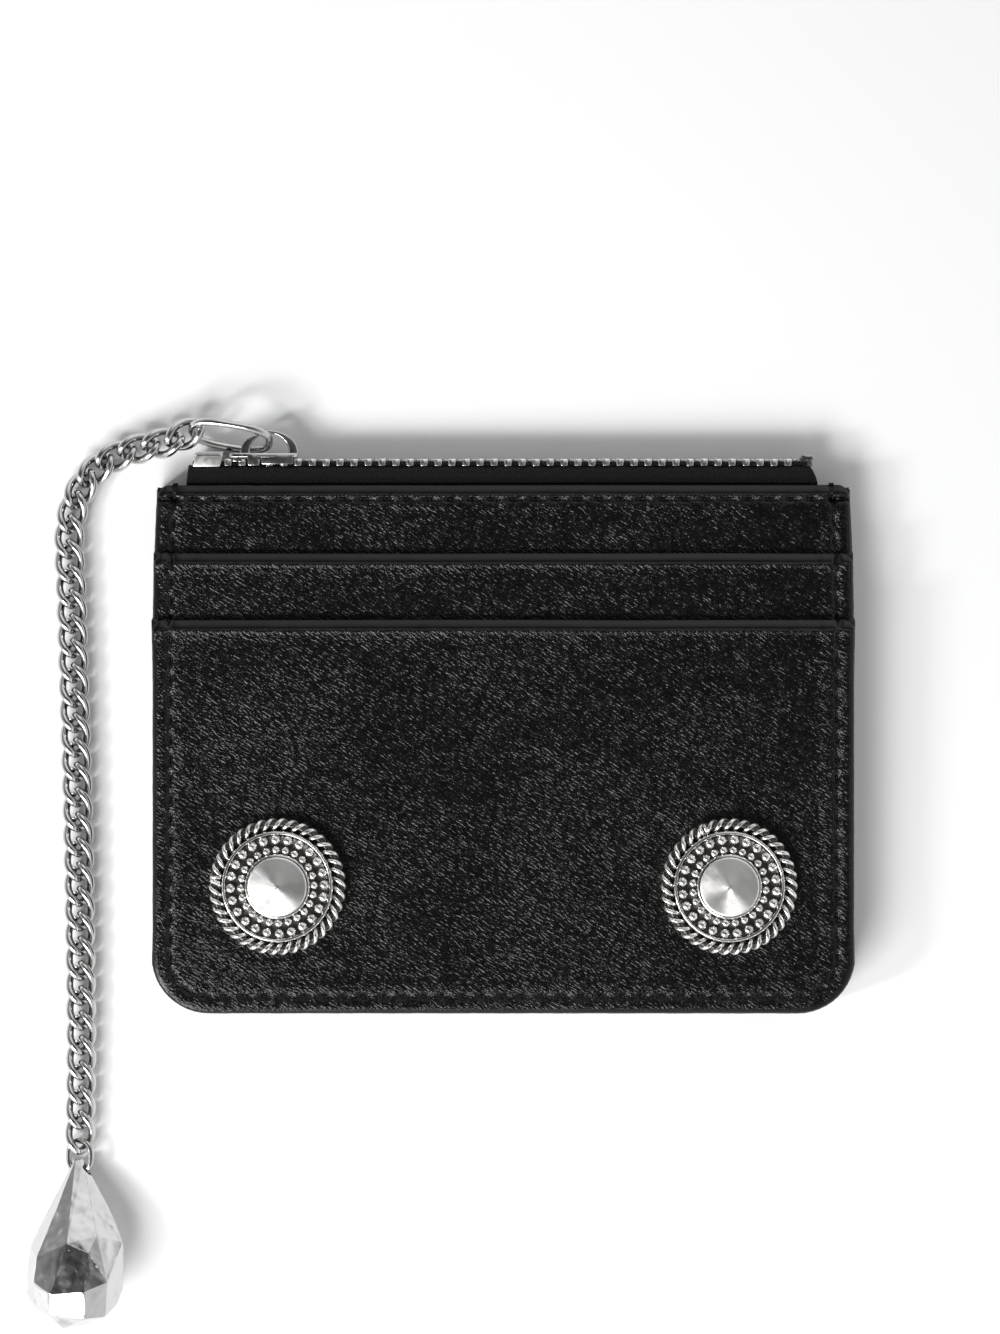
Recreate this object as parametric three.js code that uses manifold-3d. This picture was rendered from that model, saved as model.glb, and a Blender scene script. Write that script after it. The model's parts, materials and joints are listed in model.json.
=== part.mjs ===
// Zipped leather card holder with two conchos, a curb chain on the zip pull and a faceted drop.
// Millimetres. The wallet lies on its back: +X right, +Y towards the zip, +Z out of the front.
// The origin is the middle of the back panel's outer face, which is the plane that it lies on.
import * as THREE from 'three';
import { ConvexGeometry } from 'three/addons/geometries/ConvexGeometry.js';
import { mergeVertices } from 'three/addons/utils/BufferGeometryUtils.js';
import Module from 'manifold-3d';

const wasm = await Module();
wasm.setup();

// Leather body
const BODY_WIDTH = 105;
const BODY_HEIGHT = 79;
const BOTTOM_CORNER_RADIUS = 8.5;
const TOP_CORNER_RADIUS = 1.2;
const LAYER_GAP = 0.3;
const BACK_LEATHER = 1.0;
const LINING = 0.3;
const ZIP_POCKET = 1.6;
const UPPER_LEATHER = 0.8;
const MIDDLE_LEATHER = 0.7;
const FRONT_LEATHER = 0.9;
const CARD_SLOT = 0.7;
const RIM_WIDTH = 3.4;
const FILLER_WIDTH = 4.5;
const TOP_EDGE = BODY_HEIGHT / 2;
const MIDDLE_EDGE = 29.2;
const FRONT_EDGE = 19.2;
const LINING_EDGE = 31.2;

// Heights of the layers, from the plane that the wallet lies on
const BACK_LINING_Z = BACK_LEATHER + LAYER_GAP;
const FILLER_Z = BACK_LINING_Z + LINING + LAYER_GAP;
const FRONT_LINING_Z = FILLER_Z + ZIP_POCKET + LAYER_GAP;
const UPPER_Z = FRONT_LINING_Z + LINING + LAYER_GAP;
const UPPER_FACE_Z = UPPER_Z + UPPER_LEATHER;
const MIDDLE_Z = UPPER_FACE_Z + CARD_SLOT;
const MIDDLE_FACE_Z = MIDDLE_Z + MIDDLE_LEATHER;
const FRONT_Z = MIDDLE_FACE_Z + CARD_SLOT;
const FRONT_FACE_Z = FRONT_Z + FRONT_LEATHER;

// Thread
const THREAD = 0.4;
const THREAD_GAP = 0.1;
const STITCH_INSET = 2.8;
const TOP_STITCH_Y = TOP_EDGE - 2;

// Zip, whose tapes fold over into a ridge above the leather
const ZIP_Z = 3.0;
const TAPE_LEFT = -47.6;
const TAPE_RIGHT = 47.2;
const TAPE = 0.4;
const TAPE_BOTTOM = 31.5;
const TAPE_FLARE_BOTTOM = TOP_EDGE + 0.1;
const TAPE_FLARE_TOP = 41.0;
const TAPE_TOP = 42.5;
const TAPE_OUT = 2.1;
const TAPE_EDGE = 0.9;
const TAPE_FOLD_RADIUS = 0.9;
const TOOTH_PITCH = 2.1;
const TOOTH_WIDTH = 1.2;
const TEETH_LEFT = -41.9;
const TEETH_COUNT = 41;
const TEETH_BOTTOM = TAPE_TOP + 0.15;
const TEETH_TOP = 43.5;
const TOOTH_TIP = 0.3;
const TOOTH_ROOT = 1.1;
const TOOTH_OUT = 2.0;
const END_CLIP = { left: -46.5, right: -42.4, top: 44.5, half: 2.1 };
const END_STOP = { left: 44.9, right: 46.6, top: 44.0, half: 1.6 };

// Slider
const SLIDER_LEFT = -41.2;
const SLIDER_LENGTH = 10.3;
const SLIDER_HALF_WIDTH = 2.6;
const SLIDER_TOP = 44.3;
const SLIDER_PLATE = 0.65;
const SLIDER_FLANGE_BOTTOM = 42.7;
const SLIDER_FLANGE = 0.45;
const LOWER_PLATE = { bottom: 41.05, top: 41.75, half: 1.45 };
const POST = { left: -40.7, length: 1.5, half: 0.2 };
const BRIDGE = { x: -35.2, halfLength: 4.35, halfHole: 2.9, height: 3.35, hole: 2.85, width: 1.3 };

// Pull ring: a long oval that stands on edge in the bridge and leans away from the wallet
const RING_CENTRE = new THREE.Vector3(-41.0, 46.95, 3.5);
const RING_HALF_LENGTH = 5.9;
const RING_HALF_WIDTH = 3.2;
const RING_WIRE = 0.58;
const RING_SQUARENESS = 2.6;
const RING_SLOPE = -9;
const RING_LEAN = 60;

// Curb chain
const LINK_COUNT = 32;
const LINK_PITCH = 3.735;
const LINK_HALF_LENGTH = 2.9;
const LINK_HALF_WIDTH = 1.75;
const LINK_SQUARENESS = 2.4;
const LINK_WIRE = 0.585;
const LINK_TWIST = -60;
const CHAIN_HEIGHT = 1.58;
const CHAIN_ROUTE = [
  [-46.2, 48.15, 3.5], [-49.4, 46.3, 3.05], [-53.1, 45.5, 2.5], [-56.7, 44.65, 1.95],
  [-59.7, 43.4, CHAIN_HEIGHT], [-62.2, 41.4, CHAIN_HEIGHT], [-63.9, 38.8, CHAIN_HEIGHT],
  [-65.1, 35.5, CHAIN_HEIGHT], [-65.5, 31.0, CHAIN_HEIGHT], [-65.2, 25.0, CHAIN_HEIGHT],
  [-64.8, 12.0, CHAIN_HEIGHT], [-64.2, -8.0, CHAIN_HEIGHT], [-63.8, -28.0, CHAIN_HEIGHT],
  [-63.6, -45.0, CHAIN_HEIGHT], [-64.0, -70.0, CHAIN_HEIGHT],
];

// Jump link and drop
const JUMP_HALF_LENGTH = 2.3;
const JUMP_HALF_WIDTH = 1.95;
const JUMP_WIRE = 0.48;
const JUMP_SQUARENESS = 2.5;
const JUMP_ROLL = 25;
const HOOK_GAP = 0.06;
const DROP_PITCH_UP = 14.65;
const DROP_HOLE_RADIUS = 0.95;
const DROP_HOLE_DEPTH = 1.45;
const DROP_SLACK = 0.7;

// Conchos
const CONCHO_X = 33.65;
const CONCHO_Y = -20.5;
const CONCHO_SIT = 0.3;
const POST_RADIUS = 1.2;
const POST_HOLE_RADIUS = 1.5;
const ROPE_RADIUS = 9.35;
const ROPE_THICKNESS = 0.85;
const WASHER = { inner: 1.4, outer: 3.2, bottom: MIDDLE_FACE_Z + 0.15, top: FRONT_Z - 0.15 };

const radians = THREE.MathUtils.degToRad;

const material = (color, roughness, metalness) =>
  new THREE.MeshStandardMaterial({ color, roughness, metalness });
const LEATHER = material(0x121214, 0.42, 0);
const CLOTH = material(0x1a1a1c, 0.85, 0);
const THREAD_BLACK = material(0x0a0a0b, 0.6, 0);
const TAPE_BLACK = material(0x161618, 0.8, 0);
const NICKEL = material(0xc9c9cc, 0.22, 1);
const SILVER = material(0xd6d6d8, 0.12, 1);
const ANTIQUE = material(0xa9a9a6, 0.32, 1);

const wallet = new THREE.Group();

function addPiece(name, geometry, look, parent = wallet) {
  const piece = new THREE.Mesh(geometry, look);
  piece.name = name;
  parent.add(piece);
  return piece;
}

function closed(geometry) {
  const bare = geometry.clone();
  bare.deleteAttribute('normal');
  bare.deleteAttribute('uv');
  return mergeVertices(bare, 1e-5);
}

function solid(geometry) {
  const welded = closed(geometry);
  return new wasm.Manifold(new wasm.Mesh({
    numProp: 3,
    vertProperties: new Float32Array(welded.attributes.position.array),
    triVerts: new Uint32Array(welded.index.array),
  }));
}

function fromSolid(body) {
  const mesh = body.getMesh();
  const geometry = new THREE.BufferGeometry();
  geometry.setAttribute('position', new THREE.BufferAttribute(new Float32Array(mesh.vertProperties), 3));
  geometry.setIndex(new THREE.BufferAttribute(new Uint32Array(mesh.triVerts), 1));
  return geometry;
}

function slab(shape, bottom, top, curveSegments = 10) {
  const geometry = new THREE.ExtrudeGeometry(shape, { depth: top - bottom, bevelEnabled: false, curveSegments });
  return geometry.translate(0, 0, bottom);
}

function box(left, right, low, high, bottom, top) {
  const geometry = new THREE.BoxGeometry(right - left, high - low, top - bottom);
  return geometry.translate((left + right) / 2, (low + high) / 2, (bottom + top) / 2);
}

// A section drawn as [height above the zip's middle, y], run along X
function alongX(points, left, right) {
  const shape = new THREE.Shape(points.map(([out, y]) => new THREE.Vector2(-out, y)));
  const geometry = new THREE.ExtrudeGeometry(shape, { depth: right - left, bevelEnabled: false });
  return geometry.rotateY(Math.PI / 2).translate(left, 0, ZIP_Z);
}

// ---- Leather body ----

function bodyOutline(inset, top) {
  const side = BODY_WIDTH / 2 - inset;
  const bottom = -BODY_HEIGHT / 2 + inset;
  const corner = BOTTOM_CORNER_RADIUS - inset;
  const shape = new THREE.Shape();
  shape.moveTo(-side, top - TOP_CORNER_RADIUS);
  shape.lineTo(-side, bottom + corner);
  shape.absarc(-side + corner, bottom + corner, corner, Math.PI, 1.5 * Math.PI);
  shape.lineTo(side - corner, bottom);
  shape.absarc(side - corner, bottom + corner, corner, 1.5 * Math.PI, 2 * Math.PI);
  shape.lineTo(side, top - TOP_CORNER_RADIUS);
  shape.absarc(side - TOP_CORNER_RADIUS, top - TOP_CORNER_RADIUS, TOP_CORNER_RADIUS, 0, Math.PI / 2);
  shape.absarc(-side + TOP_CORNER_RADIUS, top - TOP_CORNER_RADIUS, TOP_CORNER_RADIUS, Math.PI / 2, Math.PI);
  return shape;
}

// A strip that runs down the left side, along the bottom and up the right side
function edgeStrip(outerInset, innerInset, top) {
  const shape = new THREE.Shape();
  const run = (inset, clockwise) => {
    const side = BODY_WIDTH / 2 - inset;
    const bottom = -BODY_HEIGHT / 2 + inset;
    const corner = BOTTOM_CORNER_RADIUS - inset;
    const sign = clockwise ? 1 : -1;
    const [first, last] = clockwise ? [0, -Math.PI / 2] : [Math.PI, 1.5 * Math.PI];
    shape.lineTo(sign * side, top);
    shape.lineTo(sign * side, bottom + corner);
    shape.absarc(sign * (side - corner), bottom + corner, corner, first, last, clockwise);
    const [next, end] = clockwise ? [-Math.PI / 2, -Math.PI] : [1.5 * Math.PI, 2 * Math.PI];
    shape.absarc(-sign * (side - corner), bottom + corner, corner, next, end, clockwise);
    shape.lineTo(-sign * side, top);
  };
  shape.moveTo(-BODY_WIDTH / 2 + outerInset, top);
  run(outerInset, false);
  run(innerInset, true);
  return shape;
}

function pocketPanel(top, sheetBottom, sheetTop, holes = []) {
  const outline = bodyOutline(0, top);
  for (const [x, y, radius] of holes) {
    outline.holes.push(new THREE.Path().absarc(x, y, radius, 0, 2 * Math.PI, true));
  }
  const sheet = solid(slab(outline, sheetBottom, sheetTop));
  const rimBottom = sheetBottom - CARD_SLOT + LAYER_GAP;
  const rim = solid(slab(edgeStrip(0, RIM_WIDTH, top - TOP_CORNER_RADIUS), rimBottom, sheetBottom + 0.1));
  return fromSolid(sheet.add(rim));
}

addPiece('back_panel', slab(bodyOutline(0, TOP_EDGE), 0, BACK_LEATHER), LEATHER);
addPiece('back_lining', slab(bodyOutline(0.8, LINING_EDGE), BACK_LINING_Z, BACK_LINING_Z + LINING), CLOTH);
addPiece('edge_filler', slab(edgeStrip(0.4, FILLER_WIDTH, TOP_EDGE - 0.6), FILLER_Z, FILLER_Z + ZIP_POCKET), LEATHER);
addPiece('front_lining', slab(bodyOutline(0.8, LINING_EDGE), FRONT_LINING_Z, FRONT_LINING_Z + LINING), CLOTH);
addPiece('upper_slot_panel', slab(bodyOutline(0, TOP_EDGE), UPPER_Z, UPPER_FACE_Z), LEATHER);
addPiece('middle_slot_panel', pocketPanel(MIDDLE_EDGE, MIDDLE_Z, MIDDLE_FACE_Z), LEATHER);
const postHoles = [-CONCHO_X, CONCHO_X].map((x) => [x, CONCHO_Y, POST_HOLE_RADIUS]);
addPiece('front_panel', pocketPanel(FRONT_EDGE, FRONT_Z, FRONT_FACE_Z, postHoles), LEATHER);

// ---- Thread ----

// The seam climbs from one panel to the next along both sides
function perimeterThread() {
  const inner = STITCH_INSET + THREAD;
  const sideLeft = -BODY_WIDTH / 2 + STITCH_INSET;
  const face = (z) => [z + THREAD_GAP, z + THREAD_GAP + THREAD];
  let body = solid(slab(edgeStrip(STITCH_INSET, inner, FRONT_EDGE + 0.7), ...face(FRONT_FACE_Z)));
  for (const left of [sideLeft, -sideLeft - THREAD]) {
    const right = left + THREAD;
    const lower = face(MIDDLE_FACE_Z);
    const upper = face(UPPER_FACE_Z);
    body = body
      .add(solid(box(left, right, FRONT_EDGE + LAYER_GAP, FRONT_EDGE + 0.7, lower[0], face(FRONT_FACE_Z)[1])))
      .add(solid(box(left, right, FRONT_EDGE + LAYER_GAP, MIDDLE_EDGE + 0.7, ...lower)))
      .add(solid(box(left, right, MIDDLE_EDGE + LAYER_GAP, MIDDLE_EDGE + 0.7, upper[0], lower[1])))
      .add(solid(box(left, right, MIDDLE_EDGE + LAYER_GAP, TOP_EDGE - 0.3, ...upper)));
  }
  return fromSolid(body);
}

function topThread() {
  const reach = BODY_WIDTH / 2 - STITCH_INSET - THREAD - 0.3;
  const low = UPPER_FACE_Z + THREAD_GAP;
  return box(-reach, reach, TOP_STITCH_Y - THREAD / 2, TOP_STITCH_Y + THREAD / 2, low, low + THREAD);
}

addPiece('perimeter_thread', perimeterThread(), THREAD_BLACK);
addPiece('top_thread', topThread(), THREAD_BLACK);

// ---- Zip ----

// The tape rises out of the pocket, flares, folds over and ends at the teeth
function tape(side) {
  const pocketFace = side > 0 ? FRONT_LINING_Z + LINING - ZIP_Z : ZIP_Z - BACK_LINING_Z;
  const inner = TAPE_OUT - TAPE;
  const fold = (radius, count) => Array.from({ length: count + 1 }, (_, i) => {
    const angle = (i / count) * (Math.PI / 2);
    const centre = TAPE_OUT - TAPE_FOLD_RADIUS;
    return [centre + radius * Math.cos(angle), TAPE_TOP - TAPE_FOLD_RADIUS + radius * Math.sin(angle)];
  });
  const outline = [
    [pocketFace - TAPE, TAPE_BOTTOM], [pocketFace, TAPE_BOTTOM], [pocketFace, TAPE_FLARE_BOTTOM],
    [TAPE_OUT, TAPE_FLARE_TOP],
    ...fold(TAPE_FOLD_RADIUS, 5),
    [TAPE_EDGE, TAPE_TOP], [TAPE_EDGE, TAPE_TOP - TAPE],
    ...fold(TAPE_FOLD_RADIUS - TAPE, 5).reverse(),
    [inner, TAPE_FLARE_TOP], [pocketFace - TAPE, TAPE_FLARE_BOTTOM],
  ].map(([out, y]) => [side * out, y]);
  return alongX(side > 0 ? outline : outline.reverse(), TAPE_LEFT, TAPE_RIGHT);
}

// One comb: a bar along the tape with a tooth at every pitch, the two rows half a pitch apart
function teethRow(side) {
  const start = TEETH_LEFT + (side > 0 ? 0 : TOOTH_PITCH / 2);
  const end = start + (TEETH_COUNT - 1) * TOOTH_PITCH + TOOTH_WIDTH;
  const points = [[start, TOOTH_OUT], [start, TOOTH_TIP]];
  for (let i = 0; i < TEETH_COUNT - 1; i++) {
    const left = start + i * TOOTH_PITCH;
    points.push([left + TOOTH_WIDTH, TOOTH_TIP], [left + TOOTH_WIDTH, TOOTH_ROOT]);
    points.push([left + TOOTH_PITCH, TOOTH_ROOT], [left + TOOTH_PITCH, TOOTH_TIP]);
  }
  points.push([end, TOOTH_TIP], [end, TOOTH_OUT]);
  const shape = new THREE.Shape(points.map(([x, out]) => new THREE.Vector2(x, -side * out)));
  const geometry = new THREE.ExtrudeGeometry(shape, { depth: TEETH_TOP - TEETH_BOTTOM, bevelEnabled: false });
  return geometry.rotateX(-Math.PI / 2).translate(0, TEETH_BOTTOM, ZIP_Z);
}

function endBlock({ left, right, top, half }) {
  return box(left, right, TEETH_BOTTOM, top, ZIP_Z - half, ZIP_Z + half);
}

addPiece('zip_tape_front', tape(1), TAPE_BLACK);
addPiece('zip_tape_back', tape(-1), TAPE_BLACK);
addPiece('zip_teeth_front', teethRow(1), NICKEL);
addPiece('zip_teeth_back', teethRow(-1), NICKEL);
addPiece('zip_end_clip', endBlock(END_CLIP), NICKEL);
addPiece('zip_end_stop', endBlock(END_STOP), NICKEL);

// ---- Slider ----

// A plate with side flanges over the teeth, and a narrow plate under them, held together by a post
function sliderBody() {
  const wing = SLIDER_HALF_WIDTH;
  const inside = wing - SLIDER_FLANGE;
  const under = SLIDER_TOP - SLIDER_PLATE;
  const cover = alongX([
    [-wing, SLIDER_TOP], [-wing, SLIDER_FLANGE_BOTTOM], [-inside, SLIDER_FLANGE_BOTTOM], [-inside, under],
    [inside, under], [inside, SLIDER_FLANGE_BOTTOM], [wing, SLIDER_FLANGE_BOTTOM], [wing, SLIDER_TOP],
  ], SLIDER_LEFT, SLIDER_LEFT + SLIDER_LENGTH);
  const { bottom, top, half } = LOWER_PLATE;
  const lower = box(SLIDER_LEFT, SLIDER_LEFT + SLIDER_LENGTH, bottom, top, ZIP_Z - half, ZIP_Z + half);
  const postEnds = [top - 0.2, SLIDER_TOP - 0.2];
  const post = box(POST.left, POST.left + POST.length, ...postEnds, ZIP_Z - POST.half, ZIP_Z + POST.half);
  return fromSolid(solid(cover).add(solid(lower)).add(solid(post)));
}

function bridgeArch() {
  const foot = SLIDER_TOP + 0.15;
  const shape = new THREE.Shape();
  shape.moveTo(BRIDGE.x + BRIDGE.halfLength, foot);
  shape.absellipse(BRIDGE.x, foot, BRIDGE.halfLength, BRIDGE.height, 0, Math.PI, false);
  shape.lineTo(BRIDGE.x - BRIDGE.halfHole, foot);
  shape.absellipse(BRIDGE.x, foot, BRIDGE.halfHole, BRIDGE.hole, Math.PI, 0, true);
  return slab(shape, ZIP_Z - BRIDGE.width / 2, ZIP_Z + BRIDGE.width / 2, 12);
}

addPiece('slider_body', sliderBody(), NICKEL);
addPiece('slider_bridge', bridgeArch(), NICKEL);

// ---- Rings ----

// A round wire bent into a closed oval in the XY plane. squareness 2 is an ellipse, more is boxier.
function wireRing(halfLength, halfWidth, wire, steps, squareness = 2, sides = 6) {
  const geometry = new THREE.TorusGeometry(1, 0.1, sides, steps);
  const position = geometry.attributes.position;
  const power = 2 / squareness;
  const line = (turn) => new THREE.Vector3(
    halfLength * Math.sign(Math.cos(turn)) * Math.abs(Math.cos(turn)) ** power,
    halfWidth * Math.sign(Math.sin(turn)) * Math.abs(Math.sin(turn)) ** power,
    0,
  );
  const small = 1e-3;
  for (let side = 0; side <= sides; side++) {
    for (let step = 0; step <= steps; step++) {
      const turn = (((step % steps) + 0.5) / steps) * 2 * Math.PI;
      const around = ((side % sides) / sides) * 2 * Math.PI;
      const along = line(turn + small).sub(line(turn - small)).normalize();
      const out = new THREE.Vector3(along.y, -along.x, 0);
      const point = line(turn).addScaledVector(out, wire * Math.cos(around));
      point.z = wire * Math.sin(around);
      position.setXYZ(side * (steps + 1) + step, point.x, point.y, point.z);
    }
  }
  return closed(geometry);
}

// The two ends turn opposite ways about the link's length, so that a row of links lies flat
function twisted(geometry, halfLength, degrees) {
  const position = geometry.attributes.position;
  const point = new THREE.Vector3();
  const length = new THREE.Vector3(1, 0, 0);
  for (let i = 0; i < position.count; i++) {
    point.fromBufferAttribute(position, i);
    point.applyAxisAngle(length, radians(degrees) * (point.x / halfLength));
    position.setXYZ(i, point.x, point.y, point.z);
  }
  return geometry;
}

const ring = addPiece(
  'pull_ring',
  wireRing(RING_HALF_LENGTH, RING_HALF_WIDTH, RING_WIRE, 28, RING_SQUARENESS, 8),
  NICKEL,
);
ring.position.copy(RING_CENTRE);
ring.rotation.set(radians(RING_LEAN), 0, radians(RING_SLOPE), 'ZXY');

// ---- Chain ----

// Joints between links, one pitch apart along the route
function chainJoints() {
  const route = new THREE.CatmullRomCurve3(CHAIN_ROUTE.map((point) => new THREE.Vector3(...point)));
  const joints = [route.getPointAt(0)];
  const probe = new THREE.Vector3();
  const fine = 20000;
  for (let i = 1; i <= fine && joints.length <= LINK_COUNT; i++) {
    route.getPoint(i / fine, probe);
    if (probe.distanceTo(joints.at(-1)) >= LINK_PITCH) joints.push(probe.clone());
  }
  return joints;
}

function layAlong(piece, start, end, middle) {
  const along = end.clone().sub(start).normalize();
  const across = new THREE.Vector3(0, 0, 1).cross(along).normalize();
  const up = along.clone().cross(across);
  piece.quaternion.setFromRotationMatrix(new THREE.Matrix4().makeBasis(along, across, up));
  piece.position.copy(middle);
}

const joints = chainJoints();
for (let i = 0; i < LINK_COUNT; i++) {
  const oval = wireRing(LINK_HALF_LENGTH, LINK_HALF_WIDTH, LINK_WIRE, 16, LINK_SQUARENESS);
  const shape = twisted(oval, LINK_HALF_LENGTH, LINK_TWIST);
  const link = addPiece(`chain_link_${String(i + 1).padStart(2, '0')}`, shape, NICKEL);
  layAlong(link, joints[i], joints[i + 1], joints[i].clone().lerp(joints[i + 1], 0.5));
}

// ---- Jump link and drop ----

const chainEnd = joints[LINK_COUNT];
const chainRun = chainEnd.clone().sub(joints[LINK_COUNT - 1]).normalize();
const jumpCentre = chainEnd.clone().addScaledVector(chainRun, JUMP_HALF_LENGTH - JUMP_WIRE - HOOK_GAP);
const jumpShape = wireRing(JUMP_HALF_LENGTH, JUMP_HALF_WIDTH, JUMP_WIRE, 18, JUMP_SQUARENESS);
const jump = addPiece('jump_link', jumpShape, NICKEL);
layAlong(jump, joints[LINK_COUNT - 1], chainEnd, jumpCentre);
jump.rotateX(radians(JUMP_ROLL));

// Corners of the drop: [across, height, distance from the tip], chosen so that its hull is a cut nugget
const DROP_CORNERS = [
  [-0.6, 1.0, 0], [0.6, 1.0, 0], [0.6, -1.0, 0], [-0.6, -1.0, 0],
  [-0.9, 1.4, 1.6], [0.9, 1.4, 1.6], [0.9, -1.4, 1.6], [-0.9, -1.4, 1.6],
  [-4.7, 0.2, 7.7], [-3.1, 2.5, 7.7], [-0.6, 3.3, 8.2], [1.9, 3.0, 7.9], [4.9, 0.4, 7.9],
  [-7.1, 0.3, 13.0], [-5.8, 3.3, 15.1], [-1.2, 5.0, 13.3], [3.2, 4.3, 12.1], [6.8, 0.6, 12.4],
  [-7.6, -0.6, 16.2], [-6.1, 3.1, 18.8], [2.1, 4.9, 14.6], [4.9, 3.7, 18.8], [7.1, -0.4, 16.0],
  [-7.5, 0.1, 20.0], [-3.5, 4.2, 20.7], [1.5, 4.6, 20.4], [7.0, 0.3, 19.2], [-6.2, 0.5, 22.3],
  [-3.9, 1.9, 23.6], [-1.9, -0.2, 25.3], [1.6, 2.2, 24.1], [4.4, 0.7, 23.6], [6.1, -0.3, 21.6],
  [-3.4, -2.3, 7.9], [0.4, -3.1, 7.6], [3.3, -2.2, 8.3], [-5.6, -3.2, 13.8], [-0.9, -4.6, 13.2],
  [4.1, -3.8, 13.9], [-5.4, -3.6, 18.2], [0.6, -4.9, 17.8], [5.2, -3.4, 18.6], [-3.2, -3.0, 22.6],
  [2.6, -3.1, 22.8], [0.4, -1.5, 24.9],
];

function dropShape() {
  const corners = DROP_CORNERS.map(([across, height, depth]) => new THREE.Vector3(across, -depth, height));
  const hole = new THREE.CylinderGeometry(DROP_HOLE_RADIUS, DROP_HOLE_RADIUS, 6, 16).rotateZ(Math.PI / 2);
  hole.rotateY(-radians(JUMP_ROLL)).translate(0, -DROP_HOLE_DEPTH, 0);
  return fromSolid(solid(new ConvexGeometry(corners)).subtract(solid(hole)));
}

const jumpEnd = jumpCentre.clone().addScaledVector(chainRun, JUMP_HALF_LENGTH);
const drop = addPiece('drop', dropShape(), SILVER);
const hang = new THREE.Vector3(0, DROP_HOLE_DEPTH - DROP_HOLE_RADIUS + DROP_SLACK + JUMP_WIRE, 0);
drop.rotation.x = -radians(DROP_PITCH_UP);
drop.position.copy(jumpEnd).add(hang.applyEuler(drop.rotation));

// ---- Conchos ----

function turned(profile, segments) {
  const points = profile.map(([radius, height]) => new THREE.Vector2(radius, height));
  return new THREE.LatheGeometry(points, segments).rotateX(Math.PI / 2);
}

// Dished plate with a smooth bezel and a boss, and the post that goes through the leather
const PLATE_PROFILE = [
  [0, -1.55], [POST_RADIUS, -1.55], [POST_RADIUS, 0], [7.9, 0], [8.3, 0.5], [8.35, 1.9], [8.1, 2.3],
  [7.75, 2.3], [7.5, 1.7], [4.9, 2.0], [4.8, 2.2], [0, 2.2],
];
const CONE_PROFILE = [
  [0, 2.35], [4.4, 2.35], [4.5, 2.6], [4.4, 3.0], [4.15, 3.0], [4.05, 2.85], [0, 3.9],
];

function concho(side, x) {
  const group = new THREE.Group();
  group.position.set(x, CONCHO_Y, FRONT_FACE_Z + CONCHO_SIT);
  wallet.add(group);
  addPiece(`${side}_concho_plate`, turned(PLATE_PROFILE, 32), ANTIQUE, group);
  addPiece(`${side}_concho_cone`, turned(CONE_PROFILE, 24), SILVER, group);
  const rope = new THREE.TorusGeometry(ROPE_RADIUS, ROPE_THICKNESS, 6, 36).translate(0, 0, 1.1);
  addPiece(`${side}_concho_rope`, closed(rope), ANTIQUE, group);
  const { inner, outer, bottom, top } = WASHER;
  const washer = [[inner, bottom], [outer, bottom], [outer, top], [inner, top], [inner, bottom]];
  const drawn = washer.map(([radius, height]) => [radius, height - group.position.z]);
  addPiece(`${side}_concho_washer`, turned(drawn, 20), NICKEL, group);
}

concho('left', -CONCHO_X);
concho('right', CONCHO_X);

export default wallet;
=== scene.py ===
"""Zipped leather card holder with a chain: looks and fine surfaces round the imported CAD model."""

import json
import math

import bmesh
import bpy
import numpy as np
from mathutils import Matrix, Vector, noise


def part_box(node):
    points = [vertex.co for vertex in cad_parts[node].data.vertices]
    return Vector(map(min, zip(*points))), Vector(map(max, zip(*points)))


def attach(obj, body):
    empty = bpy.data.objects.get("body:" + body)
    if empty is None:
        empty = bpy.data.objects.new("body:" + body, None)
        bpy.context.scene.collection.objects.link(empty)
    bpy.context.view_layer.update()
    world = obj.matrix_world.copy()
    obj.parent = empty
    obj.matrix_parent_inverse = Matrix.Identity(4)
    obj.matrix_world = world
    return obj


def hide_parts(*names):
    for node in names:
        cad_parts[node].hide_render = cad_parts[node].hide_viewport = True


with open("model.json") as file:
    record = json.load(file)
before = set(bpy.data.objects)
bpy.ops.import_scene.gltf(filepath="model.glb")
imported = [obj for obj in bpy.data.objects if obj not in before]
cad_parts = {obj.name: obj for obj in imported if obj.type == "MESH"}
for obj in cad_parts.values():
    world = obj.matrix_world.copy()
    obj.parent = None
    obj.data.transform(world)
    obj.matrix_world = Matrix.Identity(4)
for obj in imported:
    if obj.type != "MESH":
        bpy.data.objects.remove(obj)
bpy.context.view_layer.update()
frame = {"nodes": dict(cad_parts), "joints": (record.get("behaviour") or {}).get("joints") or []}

# The model is in millimetres, which make() turns into metres. Lights, floor and camera are in metres.
MM = 1000.0
TAU = 2 * math.pi


def box(node):
    """Lowest and highest corner of a CAD node, in millimetres."""
    low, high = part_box(node)
    return Vector(low) * MM, Vector(high) * MM


JOINT = {j["name"]: j for j in frame["joints"]}


def joint_place(name):
    return Vector(JOINT[name]["pos_m"]) * MM


LINKS = sorted(n for n in frame["nodes"] if n.startswith("chain_link_"))

# ---- Materials ----


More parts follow.
